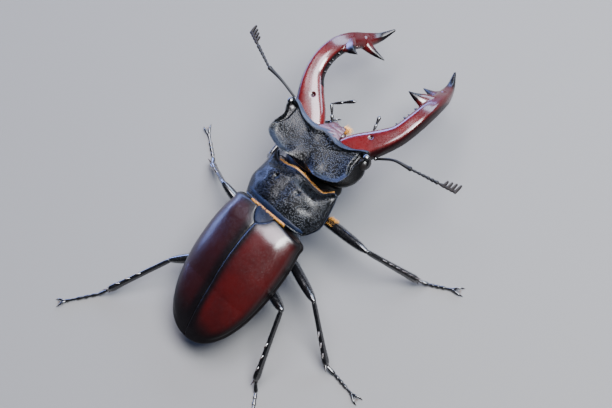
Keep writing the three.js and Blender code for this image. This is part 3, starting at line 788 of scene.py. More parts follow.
# Half of each outline, from the middle of the front round to the middle of the rear.
SHIELD_OUTLINE = [
    (0, 5.3, -0.2), (2.8, 4.6, 0.0), (5.8, 4.9, 0.3), (8.6, 6.3, 0.7), (10.1, 6.5, 0.9), (10.0, 5.0, 0.8),
    (9.3, 3.2, 0.5), (9.7, 1.0, 0.5), (9.2, -1.1, 0.6), (7.0, -2.3, 0.7), (4.4, -2.7, 0.4), (0, -1.7, -1.1),
]
BELT_OUTLINE = [
    (0, 6.6, -2.6), (2.8, 6.9, -2.4), (6.0, 7.0, -2.2), (8.8, 6.9, -1.8), (9.7, 6.2, -1.7), (9.8, 5.0, -1.9),
    (10.2, 3.4, -2.4), (9.8, 1.0, -2.6), (8.2, -0.9, -2.6), (6.0, -1.8, -2.4), (3.6, -2.2, -2.2),
    (0, -2.4, -2.2),
]

# Stations of the right mandible: place, half width and half height, from the root to the point.
MANDIBLE_SHAFT = [
    (4.7, 4.5, -1.9, 2.8, 1.35), (6.1, 6.3, -1.7, 2.9, 1.4), (8.95, 9.8, -1.3, 2.45, 1.45),
    (11.0, 13.1, -1.1, 1.9, 1.45),
    (11.85, 16.8, -1.1, 1.75, 1.5), (11.85, 20.2, -1.9, 1.7, 1.45), (11.3, 23.0, -3.5, 1.6, 1.35),
    (10.3, 25.5, -5.8, 1.35, 1.15), (9.3, 27.9, -7.2, 0.8, 0.8), (7.9, 30.8, -7.2, 0.2, 0.25),
]
INNER_PRONG = [(10.4, 24.9, -5.2, 1.5, 1.1), (8.7, 24.6, -6.0, 0.95, 0.85), (7.0, 24.6, -6.7, 0.55, 0.55),
               (5.2, 24.7, -7.2, 0.12, 0.15)]
MEDIAN_TOOTH = [(10.9, 21.6, -2.5, 2.1, 0.8), (9.7, 21.4, -1.8, 1.5, 0.8), (8.3, 21.0, -0.95, 0.75, 0.55),
                (6.7, 20.9, -0.5, 0.1, 0.12)]
PIT = dict(seat=(7.6, 9.5, 0.1), depth=0.4, width=0.32)
SOCKET = dict(seat=(6.1, 6.3, -1.7), heading=(2.85, 3.5, 0.4), radius=2.6)
JAW_VOXEL = 0.1
EYE = dict(seat=(9.6, 5.1, -1.25), radii=(1.2, 1.4, 1.25))
# Rows of small teeth along the inner edge: first and last share of the shaft, count, length, girth.
DENTICLES = ((0.36, 0.52, 6, 0.85, 0.42), (0.645, 0.74, 6, 0.7, 0.34))


def outline_path(outline):
    left = [(-x, y, z) for x, y, z in reversed(outline[1:-1])]
    return Path([*outline, *left], closed=True)


def socket_dent(point):
    """Hollows the front of the head round the root of each mandible."""
    for side in (1, -1):
        root, axis = map(Vector, mirrored(side, (SOCKET["seat"], SOCKET["heading"])))
        axis.normalize()
        offset = point - root
        ahead = offset.dot(axis)
        radial = (offset - axis * ahead).length / SOCKET["radius"]
        if ahead > -1.2 and radial < 1.2 and point.z < -0.9:
            keep = smooth(radial, 0.95, 1.2)
            point = point + axis * (lerp(min(ahead, -0.6), ahead, keep) - ahead)
    return point


def along_front(edge):
    """1 at the front edge of the shield, 0 from its corners round to the rear."""
    return smooth(edge.y, 4.0, 4.7) * (1 - smooth(abs(edge.x), 8.9, 9.9))


def shield_top(edge, share):
    """The hollow of the shield, from the middle of the crown out to an edge, with its tone: painted sheen on
    the lobes and crest, painted shade at the nape, behind the crest and in the canthus.
    """
    front = along_front(edge)
    reach = 1 - (1 - share) ** 1.35
    point = CROWN.lerp(edge, reach)
    inward = (1 - reach) * (edge - CROWN).to_2d().length
    point.z = lerp(CROWN.z, edge.z, reach ** 2.2)
    sided = smooth(abs(point.x), 2.6, 5.2)
    back = smooth(-point.y, -2.2, 0.6)
    point.z += 0.36 * swell(inward, 0.15, 0.6) * back * sided
    point.z -= 0.45 * swell(inward, 1.5, 1.0 if inward < 1.5 else 3.0) * back * sided
    carina = lerp(9.0, 7.9, smooth(point.y, 0.6, 3.2))
    canthus = smooth(abs(point.x) - carina, 0.0, 0.6) * smooth(inward, 0.05, 0.45)
    canthus *= 1 - smooth(point.y, 5.5, 6.3)
    point.z -= 0.75 * canthus * smooth(point.y, 0.4, 1.6)
    canthus *= smooth(point.y, -1.8, -0.6)
    point.z += 0.34 * swell(point.x, 0, 3.6) * swell(point.y, 2.4, 2.0)
    point.z += 0.16 * swell(inward, 0.3, 0.45) * front
    point.z += noise.noise(Vector((point.x * 0.55, point.y * 0.55, 2))) * 0.05 * smooth(inward, 0, 2)
    # Tone: the lobes' inner faces and the front crest get a painted blue-grey sheen (and less grain); the
    # nape, a band behind the crest and the canthus groove get black painted shade.
    polish_and_painted_sheen = 0.5 * swell(inward, 0.7, 0.7) * smooth(-point.y, -0.6, 1.4) * sided
    polish_and_painted_sheen = max(polish_and_painted_sheen, 0.5 * front * swell(inward, 0, 0.12))
    painted_nape_shade = smooth(point.x, -4.9, -3.7) * (1 - smooth(point.x, 3.0, 6.0))
    painted_nape_shade *= smooth(-point.y, -0.5, 1.2)
    painted_crest_shade = 0.55 * swell(inward, 0.75, 0.5) * front
    painted_crest_shade *= 1 - smooth(abs(point.x + 1.5), 2.0, 5.0)
    return point, polish_and_painted_sheen - max(painted_nape_shade, painted_crest_shade, 0.9 * canthus)


def shield_side(edge, side, k):
    """From the shield's edge down to the belt: a chamfer in front and full lobes at the rear, with painted
    sheen on the chamfer and painted shade on the cheeks and rear wall.
    """
    front = along_front(edge)
    rear = smooth(-edge.y, -1.2, 1.4)
    lobes = smooth(abs(edge.x), 1.8, 4.4)
    band = CHAMFER["band"]
    outward = Vector((edge.x * 0.35, 7.0, 0)).normalized()
    lip = edge + outward * CHAMFER["reach"] - Vector((0, 0, CHAMFER["drop"]))
    across = clamp(k / band)
    down = clamp((k - band) / (1 - band))
    ahead = edge.lerp(lip, across)
    ahead.z = lerp(edge.z, lip.z, across ** 1.4)
    ahead = ahead.lerp(side, down) if down else ahead
    point = edge.lerp(side, k ** 1.4)
    point.z = lerp(edge.z, side.z, k)
    inward = (Vector((0, 2, 0)) - Vector((edge.x, edge.y, 0))).normalized()
    point += inward * 0.8 * rear * lobes * math.sin(math.pi * k) ** 0.7
    point = point.lerp(ahead, front)
    # Tone: a painted pale sheen on the chamfer band, weaker towards the beetle's right, and black painted
    # shade down the cheeks and rear wall.
    tone = smooth(k, 0.02, 0.08) * (1 - smooth(k, band, band + 0.2))
    tone *= lerp(1, 0.4, smooth(edge.x, 0.5, 4.5))
    return socket_dent(point), front * tone - 0.8 * (1 - front) * smooth(k, 0.0, 0.15)


def head_under(side, k):
    """From the belt down and in to the chin."""
    point = side.lerp(CHIN, k ** 2.2)
    point.z = lerp(side.z, CHIN.z, math.sin(k * math.pi / 2))
    return socket_dent(point), 0.0


def head_shell():
    """The shield with its raised rim, the cheeks and the underside, as one closed shell."""
    rim, belt = outline_path(SHIELD_OUTLINE), outline_path(BELT_OUTLINE)
    dorsal, sides, ventral = 46, 26, 18
    columns = 240

    def place(row, angle):
        turn = (angle / (2 * math.pi)) % 1.0
        edge, side = Vector(rim.at(turn)), Vector(belt.at(turn))
        if row <= dorsal:
            return shield_top(edge, row / dorsal)
        if row <= dorsal + sides:
            return shield_side(edge, side, (row - dorsal) / sides)
        return head_under(side, (row - dorsal - sides) / ventral)

    return ball(columns, dorsal + sides + ventral, place)


def knobs():
    """The polished knobs at the front corners of the shield, over the eyes, and their bars."""
    parts = []
    for side in (1, -1):
        parts.append((ellipsoid((side * 10.0, 5.85, 0.6), (0.6, 0.65, 0.42), 28, 18), limb_horn))
        bar = [(side * 10.0, 6.2, 0.3, 0.5, 0.3), (side * 10.45, 5.2, -0.6, 0.4, 0.25),
               (side * 10.3, 4.2, -1.4, 0.25, 0.2)]
        parts.append((sweep(bar, 16, 24), limb_horn))
    return parts


def mandible_section(angle, u):
    """Flattened above, with a dorsal ridge and a sharper inner edge."""
    swing = math.degrees(angle) % 360
    flat = 0.6
    radius = 1 + 0.06 * swell(swing, 62, 17) * smooth(u, 0.12, 0.3)
    radius -= 0.06 * swell(swing, 128, 28) * smooth(u, 0.08, 0.25)
    radius += 0.06 * swell(swing, 178, 16)
    return radius * power(math.cos(angle), flat), radius * power(math.sin(angle), flat)


def mandible_parts(side):
    section = mandible_section
    if side < 0:
        def section(angle, u):
            a, b = mandible_section(math.pi - angle, u)
            return -a, b
    parts = [sweep(mirrored(side, MANDIBLE_SHAFT), 64, 160, section, blunt=0.5)]
    parts.append(sweep(mirrored(side, INNER_PRONG), 28, 50))
    parts.append(sweep(mirrored(side, MEDIAN_TOOTH), 36, 50))
    shaft = Path(MANDIBLE_SHAFT)
    for first, last, count, reach, girth in DENTICLES:
        for i in range(count):
            share = lerp(first, last, i / (count - 1))
            x, y, z, width, _ = shaft.at(share)
            inward = shaft.heading(share).cross(Vector((0, 0, 1))).normalized() * -1
            grow = (1.0, 0.75, 1.15)[i % 3]
            seat = Vector((x, y, z + 0.25)) + inward * (width - 0.3)
            seat.x, inward.x = side * seat.x, side * inward.x
            parts.append(thorn(seat, inward + Vector((0, 0, 0.15)), reach * grow, girth * grow))
    return parts


def fused(parts, place, voxel):
    """Several shapes grown together into one skin, softened where they meet."""
    scratch = bpy.data.objects.new("scratch", mesh_of([(part, red_horn) for part in parts], place))
    bpy.context.scene.collection.objects.link(scratch)
    remesh = scratch.modifiers.new("skin", "REMESH")
    remesh.mode = "VOXEL"
    remesh.voxel_size = voxel * MM
    soften = scratch.modifiers.new("soften", "SMOOTH")
    soften.factor = 0.5
    soften.iterations = 6
    seen = scratch.evaluated_get(bpy.context.evaluated_depsgraph_get())
    mesh = bpy.data.meshes.new_from_object(seen)
    bpy.data.objects.remove(scratch)
    mesh.shade_smooth()
    return mesh


def finish_jaw(mesh, place, side, rule):
    """Sinks the pit near a jaw's root, and writes its tone from each vertex's place in millimetres."""
    count = len(mesh.vertices)
    points = np.empty(count * 3, np.float32)
    mesh.vertices.foreach_get("co", points)
    there, back = np.array(place), np.array(place.inverted())
    local = points.reshape(-1, 3) @ back[:3, :3].T + back[:3, 3]
    x, y, z = PIT["seat"]
    gap = np.hypot(local[:, 0] - side * x, local[:, 1] - y)
    on_top = local[:, 2] > z - 1.0
    local[:, 2] -= PIT["depth"] * np.exp(-((gap / PIT["width"]) ** 2)) * on_top
    sunk = local @ there[:3, :3].T + there[:3, 3]
    mesh.vertices.foreach_set("co", sunk.astype(np.float32).ravel())
    layer = mesh.attributes.get("tone") or mesh.attributes.new("tone", "FLOAT", "POINT")
    layer.data.foreach_set("value", np.clip(rule(local), 0, 1).astype(np.float32))


def near(points, target, inner, outer):
    """1 within the inner distance of a point, 0 beyond the outer one."""
    gap = np.linalg.norm(points - np.array(target), axis=1)
    return np.clip((outer - gap) / (outer - inner), 0, 1)


def mandible_tone(side):
    """Dark at the points, the inner teeth and along the outer edge; the darkening of the lower flank and of
    the small pit near the root is painted shade.
    """

    def rule(points):
        local = points * np.array([side, 1, 1])
        dark = near(local, MANDIBLE_SHAFT[-1][:3], 2.6, 6.0)
        dark = np.maximum(dark, near(local, INNER_PRONG[-1][:3], 2.0, 4.8))
        dark = np.maximum(dark, near(local, MEDIAN_TOOTH[-1][:3], 2.0, 3.6))
        # Painted shade: the pit near the root is darkened.
        dark = np.maximum(dark, near(local, PIT["seat"], 0.3, 0.75) * 0.9)
        path = Path(MANDIBLE_SHAFT)
        centres = np.array([path.at(t)[:3] for t in np.linspace(0, 0.88, 110)])
        gaps = np.linalg.norm(local[:, None, :] - centres[None, :, :], axis=2)
        nearest = centres[gaps.argmin(axis=1)]
        # Painted shade: the lower flank under the shaft is darkened.
        under = np.clip((nearest[:, 2] - local[:, 2] - 0.5) / 0.6, 0, 1)
        toothed = (local[:, 1] > 12) * (local[:, 1] < 20)
        teeth = np.clip((nearest[:, 0] - local[:, 0] - 1.45) / 0.3, 0, 1) * toothed
        outer = np.clip((local[:, 0] - nearest[:, 0] - 1.15) / 0.4, 0, 1)
        far = np.clip((local[:, 1] - 14.5) / 6, 0, 1)
        return np.maximum.reduce([dark, under * 0.85, teeth * 0.95, outer * 0.8, 0.45 * far])

    return rule


head_parts = [(head_shell(), granulate_horn)] + knobs()
neck_matrix = IN_HEAD.inverted() @ IN_PROTHORAX
neck = ellipsoid(NECK["seat"], NECK["radii"], 72, 44)
neck.transform(neck_matrix)
head_parts.append((neck, neck_horn))
piece("head_shield", head_parts, IN_HEAD, "shield", "head")

for hand, side in (("right", 1), ("left", -1)):
    jaw = fused(mandible_parts(side), IN_HEAD, JAW_VOXEL)
    finish_jaw(jaw, IN_HEAD, side, mandible_tone(side))
    settle(f"jaw_{hand}", jaw, (f"mandible_{hand}",))
    x, y, z = EYE["seat"]
    ball_parts = [(ellipsoid((side * x, y, z), EYE["radii"], 64, 40), eye_horn)]
    piece(f"compound_eye_{hand}", ball_parts, IN_HEAD, "eye", f"eye_{hand}")


LIP_WALL = 0.6


def lip_plate():
    """The clypeus and labrum, sloping down between the mandibles to a blunt, notched end."""

    def place(u, v):
        across = 2 * u - 1
        width = lerp(2.9, 1.35, v ** 0.8)
        y = lerp(5.4, 8.5, v) - 0.25 * swell(across, 0, 0.35) * smooth(v, 0.7, 1)
        z = lerp(-0.55, -2.6, v ** 1.2) + 0.3 * (1 - across ** 2) - 0.12 * swell(v, 0.55, 0.08)
        z += noise.noise(Vector((across * 3, v * 6, 4))) * 0.12
        return Vector((width * across, y, z)), 0.55 * smooth(v, 0.85, 1) + 0.3 * abs(across) ** 4

    return sheet(40, 44, place, LIP_WALL)


labrum_parts = [(lip_plate(), lip_horn), (ellipsoid((0, 7.0, -3.7), (1.8, 1.4, 0.8), 40, 24, 0.6), lip_horn)]
piece("lip", labrum_parts, IN_HEAD, "jaw", "labrum")
mentum_parts = [
    (ellipsoid((0, 4.4, -6.6), (4.2, 3.4, 1.1), 64, 36), belly_horn),
    (ellipsoid((1.7, 7.2, -6.2), (1.2, 1.2, 0.7), 32, 20), belly_horn),
    (ellipsoid((-1.7, 7.2, -6.2), (1.2, 1.2, 0.7), 32, 20), belly_horn),
]
piece("chin_plate", mentum_parts, IN_HEAD, "underside", "mentum")

# ---------------------------------------------------------------- feelers and palps

# Each feeler: its root, the bow of the scape, the elbow and the end of the club.
FEELERS = {
    "right": [(10.6, 7.1, -1.4), (14.3, 8.7, -0.2), (18.1, 9.3, -0.3), (27.4, 11.0, -1.0)],
    "left": [(-10.6, 7.1, -1.4), (-14.6, 8.0, -0.1), (-18.8, 8.6, 0.0), (-27.4, 12.2, -0.6)],
}
FUNICLE_SHARE = 0.6                 # of the length beyond the elbow
FUNICLE_BEADS = 6
CLUB_BLADES = 4
CLUB_LEAN = (0.35, 0.9, 0.1)        # the way the blades point, inwards and forwards
PALPS = {
    "right": [(3.2, 8.2, -4.9), (5.3, 11.4, -3.6), (4.5, 14.3, -3.0)],
    "left": [(-3.0, 8.2, -4.9), (-5.2, 10.9, -3.4), (-1.5, 13.9, -3.0)],
}


BEAD_PROFILE = ((0, 0.55), (0.25, 0.72), (0.7, 1.0), (0.92, 0.95), (1, 0.6))


def bead(start, end, girth, finish):
    """One joint of a feeler, palp or foot: narrow where it starts, swelling towards its end."""
    stations = []
    for t, share in BEAD_PROFILE:
        stations.append((*between(start, end, t), girth * share, girth * share))
    return sweep(stations, 14, 20), finish


def feeler(hand):
    root, bow, elbow, end = FEELERS[hand]
    scape = [(*root, 0.24, 0.24), (*bow, 0.27, 0.27), (*between(bow, elbow, 0.8), 0.38, 0.38),
             (*between(bow, elbow, 0.96), 0.44, 0.44), (*elbow, 0.25, 0.25)]
    joint = ellipsoid(root, (0.38, 0.38, 0.38), 20, 14)
    piece(f"feeler_scape_{hand}", [(sweep(scape, 18, 60), neck_horn), (joint, limb_horn)], IN_HEAD, "limb",
          f"antenna_scape_{hand}")
    club_start = between(elbow, end, FUNICLE_SHARE)
    beads = []
    for i in range(FUNICLE_BEADS):
        start = between(elbow, club_start, i / FUNICLE_BEADS)
        finish_at = between(elbow, club_start, (i + 1.04) / FUNICLE_BEADS)
        beads.append(bead(start, finish_at, 0.27 + 0.02 * i, neck_horn))
    piece(f"feeler_funicle_{hand}", beads, IN_HEAD, "limb", f"antenna_funicle_{hand}")
    forward = Vector(*mirrored(-1 if hand == "right" else 1, [CLUB_LEAN])).normalized()
    blades = []
    for i in range(CLUB_BLADES):
        seat = Vector(between(club_start, end, 0.10 + 0.22 * i))
        ahead = Vector(between(club_start, end, 0.32 + 0.22 * i))
        blades.append(bead(seat - (ahead - seat) * 0.25, ahead, 0.33, downy_horn))
        lean = (forward + (ahead - seat).normalized() * 0.45).normalized()
        reach = 1.1 + 0.14 * i
        stations = [(*(ahead - lean * 0.15), 0.3, 0.3), (*(ahead + lean * reach * 0.5), 0.27, 0.38),
                    (*(ahead + lean * reach), 0.2, 0.3)]
        blades.append((sweep(stations, 14, 20), downy_horn))
    piece(f"feeler_club_{hand}", blades, IN_HEAD, "club", f"antenna_club_{hand}")


def palp(hand):
    base, joint, tip = PALPS[hand]
    parts = [
        bead(base, between(base, joint, 0.45), 0.33, limb_horn),
        bead(between(base, joint, 0.42), between(base, joint, 1.0), 0.32, limb_horn),
        bead(joint, between(joint, tip, 0.5), 0.29, limb_horn),
        bead(between(joint, tip, 0.48), tip, 0.36, limb_horn),
    ]
    inner = [(base[0] * 0.45, base[1] - 1.2, base[2] - 1.2), (base[0] * 0.6, base[1] - 0.2, base[2] - 1.3),
             (base[0] * 0.5, base[1] + 0.6, base[2] - 1.7)]
    for a, b in zip(inner, inner[1:]):
        parts.append(bead(a, b, 0.24, limb_horn))
    piece(f"mouth_feeler_{hand}", parts, IN_HEAD, "limb", f"palp_{hand}")


for hand in FEELERS:
    feeler(hand)
    palp(hand)

# ---------------------------------------------------------------- legs

# Each leg in the level frame: hip, knee, ankle and the tip of the foot.
LEGS = {
    "front_right": [(4.2, 4.6, 8.0), (18.1, 5.3, 10.5), (26.0, 8.1, 1.6), (33.2, 11.9, 0.3)],
    "front_left": [(-4.4, 4.3, 7.7), (-14.7, 6.9, 2.6), (-16.0, 16.8, 1.6), (-10.2, 20.6, 0.3)],
    "mid_right": [(4.6, -4.9, 5.6), (16.8, -8.0, 9.6), (24.1, -15.2, 1.6), (32.9, -16.0, 0.3)],
    "mid_left": [(-4.6, -4.9, 5.6), (-15.6, -3.2, 7.0), (-23.2, -1.9, 1.6), (-30.6, 2.9, 0.3)],
    "hind_right": [(4.4, -11.6, 4.0), (13.6, -13.3, 10.4), (15.6, -26.5, 1.6), (21.0, -33.9, 0.3)],
    "hind_left": [(-4.2, -11.6, 4.2), (-13.6, -21.1, 5.0), (-21.0, -33.9, 1.6), (-28.4, -43.2, 0.3)],
}

# Profiles along a limb: share of its length, half width and half height.
COXA = ((0, 0.9, 0.99), (0.5, 1.25, 1.375), (0.85, 1.05, 1.155), (1, 0.8, 0.88))
THIGH = ((-0.02, 0.75, 0.8), (0.06, 0.7, 0.72), (0.14, 0.95, 1.1), (0.4, 1.05, 1.3), (0.75, 0.95, 1.15),
         (0.93, 0.72, 0.85), (1.0, 0.5, 0.6))
FRONT_SHIN = ((0, 0.42, 0.5), (0.06, 0.5, 0.58), (0.3, 0.55, 0.68), (0.75, 0.68, 0.95), (0.95, 0.7, 1.05),
              (1, 0.45, 0.6))
SHIN = ((0, 0.42, 0.5), (0.06, 0.48, 0.56), (0.3, 0.5, 0.58), (0.75, 0.58, 0.74), (0.95, 0.66, 0.9),
        (1, 0.42, 0.5))
FRONT_SPINES = (0.28, 0.4, 0.52, 0.64, 0.76, 0.87)      # shares of the shin's length
SPINES = (0.45, 0.62, 0.78)
# Along a claw: ahead of the pad, to the side, height over the floor, and girth.
CLAW = ((-0.35, 0.05, 0.42, 0.2), (0.35, 0.32, 0.62, 0.21), (1.1, 0.62, 0.55, 0.16), (1.85, 0.78, 0.1, 0.04))


def limb_stations(start, end, profile):
    return [(*between(start, end, t), width, height) for t, width, height in profile]


def fluted(depth, flutes):
    def section(angle, u):
        radius = 1 + depth * math.cos(flutes * angle) * smooth(u, 0.05, 0.2) * (1 - smooth(u, 0.85, 0.97))
        return radius * math.cos(angle), radius * math.sin(angle)

    return section


def tibia(knee, ankle, is_front):
    along = (Vector(ankle) - Vector(knee)).normalized()
    outer = Vector((0, 0, 1)).cross(along).cross(along).normalized() * -1
    profile = FRONT_SHIN if is_front else SHIN
    parts = [(sweep(limb_stations(knee, ankle, profile), 36, 60, fluted(0.05, 6)), limb_horn)]
    for k, share in enumerate(FRONT_SPINES if is_front else SPINES):
        direction = outer + along * 0.6
        reach = (1.0 + 0.16 * k) if is_front else 1.25
        seat = Vector(between(knee, ankle, share)) + outer * 0.2
        parts.append((thorn(seat, direction, reach, 0.3, along * 0.25), limb_horn))
    sideways = outer.cross(along).normalized()
    for direction, reach in ((outer + along * 1.1, 1.7), (along * 1.2 - outer * 0.6, 1.2),
                             (along + sideways * 0.7, 1.0), (along - sideways * 0.7, 1.0)):
        parts.append((thorn(between(knee, ankle, 0.95), direction, reach, 0.28, along * 0.2), limb_horn))
    return parts


def foot(ankle, toe):
    """Five joints lying on the floor, two claws and the little rod between them."""
    heel = (*between(ankle, toe, 0.22)[:2], 0.36)
    wrist = (*between(ankle, toe, 0.62)[:2], 0.32)
    pad = (*between(ankle, toe, 0.86)[:2], 0.36)
    parts = [bead(ankle, heel, 0.4, limb_horn)]
    for i in range(3):
        start, finish_at = between(heel, wrist, i / 3), between(heel, wrist, (i + 1.08) / 3)
        parts.append(bead(start, finish_at, 0.36, limb_horn))
    shank = [(*wrist, 0.2, 0.2), (*between(wrist, pad, 0.5), 0.24, 0.26),
             (*between(wrist, pad, 0.88), 0.32, 0.34), (*pad, 0.25, 0.26)]
    parts.append((sweep(shank, 16, 30), limb_horn))
    forward = (Vector(toe) - Vector(ankle)).to_2d().to_3d().normalized()
    sideways = Vector((-forward.y, forward.x, 0))
    for hand in (1, -1):
        stations = []
        for ahead, aside, height, girth in CLAW:
            spot = Vector(pad) + forward * ahead + sideways * hand * aside
            stations.append((spot.x, spot.y, height, girth, girth))
        parts.append((sweep(stations, 12, 28, tone=lambda u, a: 0.6 * smooth(u, 0.5, 1)), limb_horn))
    rod = [(*(Vector(pad) + forward * t), g, g) for t, g in ((0.1, 0.08), (0.5, 0.07), (0.9, 0.04))]
    parts.append((sweep(rod, 8, 12), limb_horn))
    for hand in (1, -1):
        tip = Vector(pad) + forward * 0.85
        bristle = thorn(tip, forward + sideways * hand * 0.4, 0.55, 0.03, columns=6, rows=10)
        parts.append((bristle, brown_bristle))
    return parts


def leg(name, joints):
    hip, knee, ankle, toe = joints
    inner = (hip[0] * 0.42, hip[1], hip[2] + 0.4)
    coxa = sweep(limb_stations(inner, hip, COXA), 36, 34)
    piece(f"hip_{name}", [(coxa, limb_horn)], IN_LEVEL, "limb", f"leg_{name}_coxa")
    joint = ellipsoid(between(hip, knee, 0.04), (0.85, 0.85, 0.85), 28, 18)
    thigh = sweep(limb_stations(hip, knee, THIGH), 48, 70, fluted(0.02, 3))
    thigh_parts = [(thigh, limb_horn), (joint, limb_horn)]
    thigh_parts.append((ellipsoid(knee, (0.5, 0.5, 0.5), 24, 16), limb_horn))
    piece(f"thigh_{name}", thigh_parts, IN_LEVEL, "limb", f"leg_{name}_femur")
    shin_start = between(knee, ankle, 0.02)
    shin = tibia(shin_start, ankle, name.startswith("front"))
    piece(f"shin_{name}", shin, IN_LEVEL, "limb", f"leg_{name}_tibia")
    piece(f"foot_{name}", foot(ankle, toe), IN_LEVEL, "limb", f"leg_{name}_tarsus")


for name, joints in LEGS.items():
    leg(name, joints)

# ---------------------------------------------------------------- hair

STRANDS = 3                         # hairs in a tuft
SPLAY = 0.3                         # how far they spread sideways, as a slope
BAKE_PATCH = 0.003                  # side of a tuft's patch in the OFBake map
MOUTH_TUFTS = 90
GOLDEN_TUFTS = 280                  # on each front thigh


def strand_arrays():
    """One hair as arrays: a thin three-sided cone of unit length, its rings and its triangles."""
    bm = bmesh.new()
    bmesh.ops.create_cone(bm, cap_ends=True, segments=3, radius1=1.0, radius2=0.1, depth=1.0)
    bmesh.ops.translate(bm, verts=bm.verts, vec=(0, 0, 0.5))
    for cut in (0.33, 0.67):
        geometry = bm.verts[:] + bm.edges[:] + bm.faces[:]
        bmesh.ops.bisect_plane(bm, geom=geometry, plane_co=(0, 0, cut), plane_no=(0, 0, 1))
    bmesh.ops.triangulate(bm, faces=bm.faces)
    bmesh.ops.recalc_face_normals(bm, faces=bm.faces)
    bm.verts.index_update()
    points = np.array([vert.co[:] for vert in bm.verts])
    faces = np.array([[vert.index for vert in face.verts] for face in bm.faces])
    bm.free()
    return points, faces


STRAND_POINTS, STRAND_FACES = strand_arrays()


def tufts(name, roots, place, girth=0.035):
    """A coat of golden tufts from roots (point, direction, length, droop, u, v), in millimetres.

    Each tuft's place in the OFBake map is a small patch at its root's place on the skin's own u, v.
    """
    points, faces, patches = [], [], []
    count = len(STRAND_POINTS)
    along = STRAND_POINTS[:, 2]
    for root, direction, length, droop, u, v in roots:
        direction = np.array(direction, float)
        direction /= np.linalg.norm(direction)
        side = np.cross(direction, (0.13, 0.21, 0.97))
        side /= np.linalg.norm(side)
        above = np.cross(side, direction)
        for strand in range(STRANDS):
            turn = random.uniform(-SPLAY, SPLAY)
            lift = random.uniform(-SPLAY, SPLAY) * 0.6
            reach = length * random.uniform(0.75, 1.1)
            heading = direction + side * turn + above * lift
            seat = np.array(root, float) + side * random.uniform(-1, 1) * girth * 2
            spine = seat + along[:, None] * heading * reach
            spine = spine + (along ** 2)[:, None] * np.array((0, 0, -droop)) * reach
            ring = STRAND_POINTS[:, :1] * side + STRAND_POINTS[:, 1:2] * above
            faces.append(STRAND_FACES + len(points) * count)
            points.append(spine + ring * girth)
            patch = np.stack((STRAND_POINTS[:, 0] + strand - 1, along * 2 - 1), axis=1) / 4
            patches.append(np.array((u, v)) + patch * BAKE_PATCH)
    mesh = bpy.data.meshes.new(name)
    all_points, all_faces = np.concatenate(points), np.concatenate(faces)
    mesh.from_pydata(all_points.tolist(), [], all_faces.tolist())
    bake = mesh.uv_layers.new(name="OFBake")
    bake.data.foreach_set("uv", np.concatenate(patches)[all_faces.ravel()].ravel())
    tone = mesh.attributes.new("tone", "FLOAT", "POINT")
    tone.data.foreach_set("value", np.tile(along, len(points)).astype(np.float32))
    mesh.shade_smooth()
    mesh.transform(place)
    mesh.materials.append(golden_hair)
    settle(name, mesh)


def pronotum_fringe(s, first, last, count, ahead, length, droop, shift):
    """A row of tufts from under the front or rear edge of the back plate, between two angles."""
    roots = []
    for i in range(count):
        share = (i + random.random()) / count
        x, y, z = pronotum_point(s, math.radians(lerp(first, last, share)))
        sideways = random.uniform(-0.35, 0.35)
        root = (x, y + shift[0], z + shift[1] - 0.2 * random.random())
        roots.append((root, (sideways, ahead, 0.1), length * random.uniform(0.7, 1.15), droop, share, s))
    return roots


def thigh_patch(hip, knee, facing):
    """Tufts on one face of a thigh: facing is a range round its axis, 0 to its left and 90 upwards."""
    start, end = Vector(hip), Vector(knee)
    along = (end - start).normalized()
    across = along.cross(Vector((0, 0, 1))).normalized()
    above = across.cross(along).normalized()
    roots = []
    for _ in range(GOLDEN_TUFTS):
        share = random.uniform(0.24, 0.38)
        angle = math.radians(random.uniform(*facing))
        out = across * math.cos(angle) * -1 + above * math.sin(angle)
        root = start.lerp(end, share) + out * 0.98
        length = 0.62 * random.uniform(0.7, 1.2)
        roots.append((root, out + along * 0.9, length, 0.1, angle / math.tau % 1, share))
    return roots


def mouth_brush():
    """The golden brush that shows beside the lip, between the jaws."""
    roots = []
    for i in range(MOUTH_TUFTS):
        spread = random.uniform(-1, 1)
        root = (0.9 + spread * 0.5, 7.9 + random.uniform(-0.3, 0.3), -3.1 - random.random() * 0.5)
        direction = (0.5 + spread * 0.35, 1.0, 0.12)
        roots.append((root, direction, random.uniform(1.0, 1.7), 0.1, spread / 2 + 0.5, i / MOUTH_TUFTS))
    return roots


front_edge = dict(s=1.0, first=27, last=141, count=430, ahead=1, length=0.5, droop=0.3, shift=(-0.1, -0.05))
rear_edge = dict(s=0.0, first=56, last=124, count=300, ahead=-1, length=0.55, droop=0.12, shift=(-0.25, 0.12))
tufts("front_edge_hair", pronotum_fringe(**front_edge), IN_PROTHORAX)
tufts("rear_edge_hair", pronotum_fringe(**rear_edge), IN_PROTHORAX)
tufts("mouth_brush", mouth_brush(), IN_HEAD, girth=0.04)
for name, facing in (("front_right", (20, 110)), ("front_left", (70, 160))):
    hip, knee = LEGS[name][:2]
    tufts(f"golden_patch_{name}", thigh_patch(hip, knee, facing), IN_LEVEL, girth=0.03)

# ---------------------------------------------------------------- floor, light and camera


FLOOR_COLOUR = (0.078, 0.077, 0.076)
FLOOR_ROUGHNESS = 0.85
FLOOR_HALF_SIDE = 0.9


def floor_finish():
    """Pale matt board, very slightly uneven in tone."""
    material = bpy.data.materials.new("pale_floor")
    material.use_nodes = True
    tree = material.node_tree
    shader = tree.nodes["Principled BSDF"]
    shader.inputs["Roughness"].default_value = FLOOR_ROUGHNESS
    place = tree.nodes.new("ShaderNodeTexCoord").outputs["Object"]
    drift = cloud(tree, place, 9.0, 2.0)
    paler = tuple(c * 1.04 for c in FLOOR_COLOUR)
    tree.links.new(blend_colours(tree, drift, FLOOR_COLOUR, paler), shader.inputs["Base Color"])
    return material


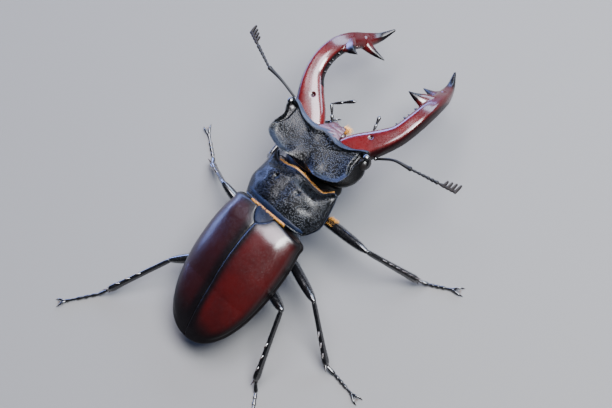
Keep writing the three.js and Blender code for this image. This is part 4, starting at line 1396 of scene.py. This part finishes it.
floor_mesh = bmesh.new()
bmesh.ops.create_grid(floor_mesh, x_segments=4, y_segments=4, size=FLOOR_HALF_SIDE)
floor = bpy.data.meshes.new("floor")
floor_mesh.to_mesh(floor)
floor_mesh.free()
floor.materials.append(floor_finish())
floor_piece = bpy.data.objects.new("floor", floor)
bpy.context.scene.collection.objects.link(floor_piece)


BOX_DISTANCE = 0.6
BEETLE_MIDDLE = Vector((0, 0, 0.012))


def softbox(name, direction, size, watts, colour):
    """An oval soft light that looks at the beetle from a direction; its size is in metres."""
    light = bpy.data.lights.new(name, "AREA")
    light.shape = "ELLIPSE"
    light.size, light.size_y = size
    light.energy = watts
    light.color = colour
    lamp = bpy.data.objects.new(name, light)
    toward = Vector(direction).normalized()
    lamp.location = toward * BOX_DISTANCE + BEETLE_MIDDLE
    lamp.rotation_euler = toward.to_track_quat("Z", "Y").to_euler()
    bpy.context.scene.collection.objects.link(lamp)


softbox("sky_box", (0.14, -0.42, 1.0), (0.42, 0.36), 12.0, (0.92, 0.90, 1.0))
softbox("shoulder_box", (-0.42, -0.36, 0.88), (0.32, 0.32), 20.0, (0.95, 0.97, 1.0))
softbox("front_box", (0.16, -1.0, 0.45), (0.7, 0.24), 9.0, (0.60, 0.74, 1.0))
softbox("side_box", (1.0, -0.26, 0.15), (1.0, 0.18), 10.0, (0.30, 0.42, 1.0))

world = bpy.data.worlds.new("studio")
bpy.context.scene.world = world
world.use_nodes = True
background = world.node_tree.nodes["Background"]
background.inputs["Color"].default_value = (0.70, 0.80, 0.95, 1)
background.inputs["Strength"].default_value = 0.06

CAMERA_PLACE = Vector((-0.172369, 0.007662, 0.349877))
CAMERA_TOWARD = Vector((0.450402, -0.034329, -0.892166))
CAMERA_UP = Vector((0.598342, -0.730056, 0.330159))
CAMERA_LENS = 118.57                # millimetres, as is the sensor
SENSOR_WIDTH = 36

camera_data = bpy.data.cameras.new("camera")
camera_data.lens = CAMERA_LENS
camera_data.sensor_width = SENSOR_WIDTH
camera_data.clip_start = 0.01
camera = bpy.data.objects.new("camera", camera_data)
right = CAMERA_TOWARD.cross(CAMERA_UP).normalized()
up = right.cross(CAMERA_TOWARD).normalized()
turn = Matrix((right, up, -CAMERA_TOWARD.normalized())).transposed()
camera.matrix_world = Matrix.Translation(CAMERA_PLACE) @ turn.to_4x4()
bpy.context.scene.collection.objects.link(camera)
bpy.context.scene.camera = camera
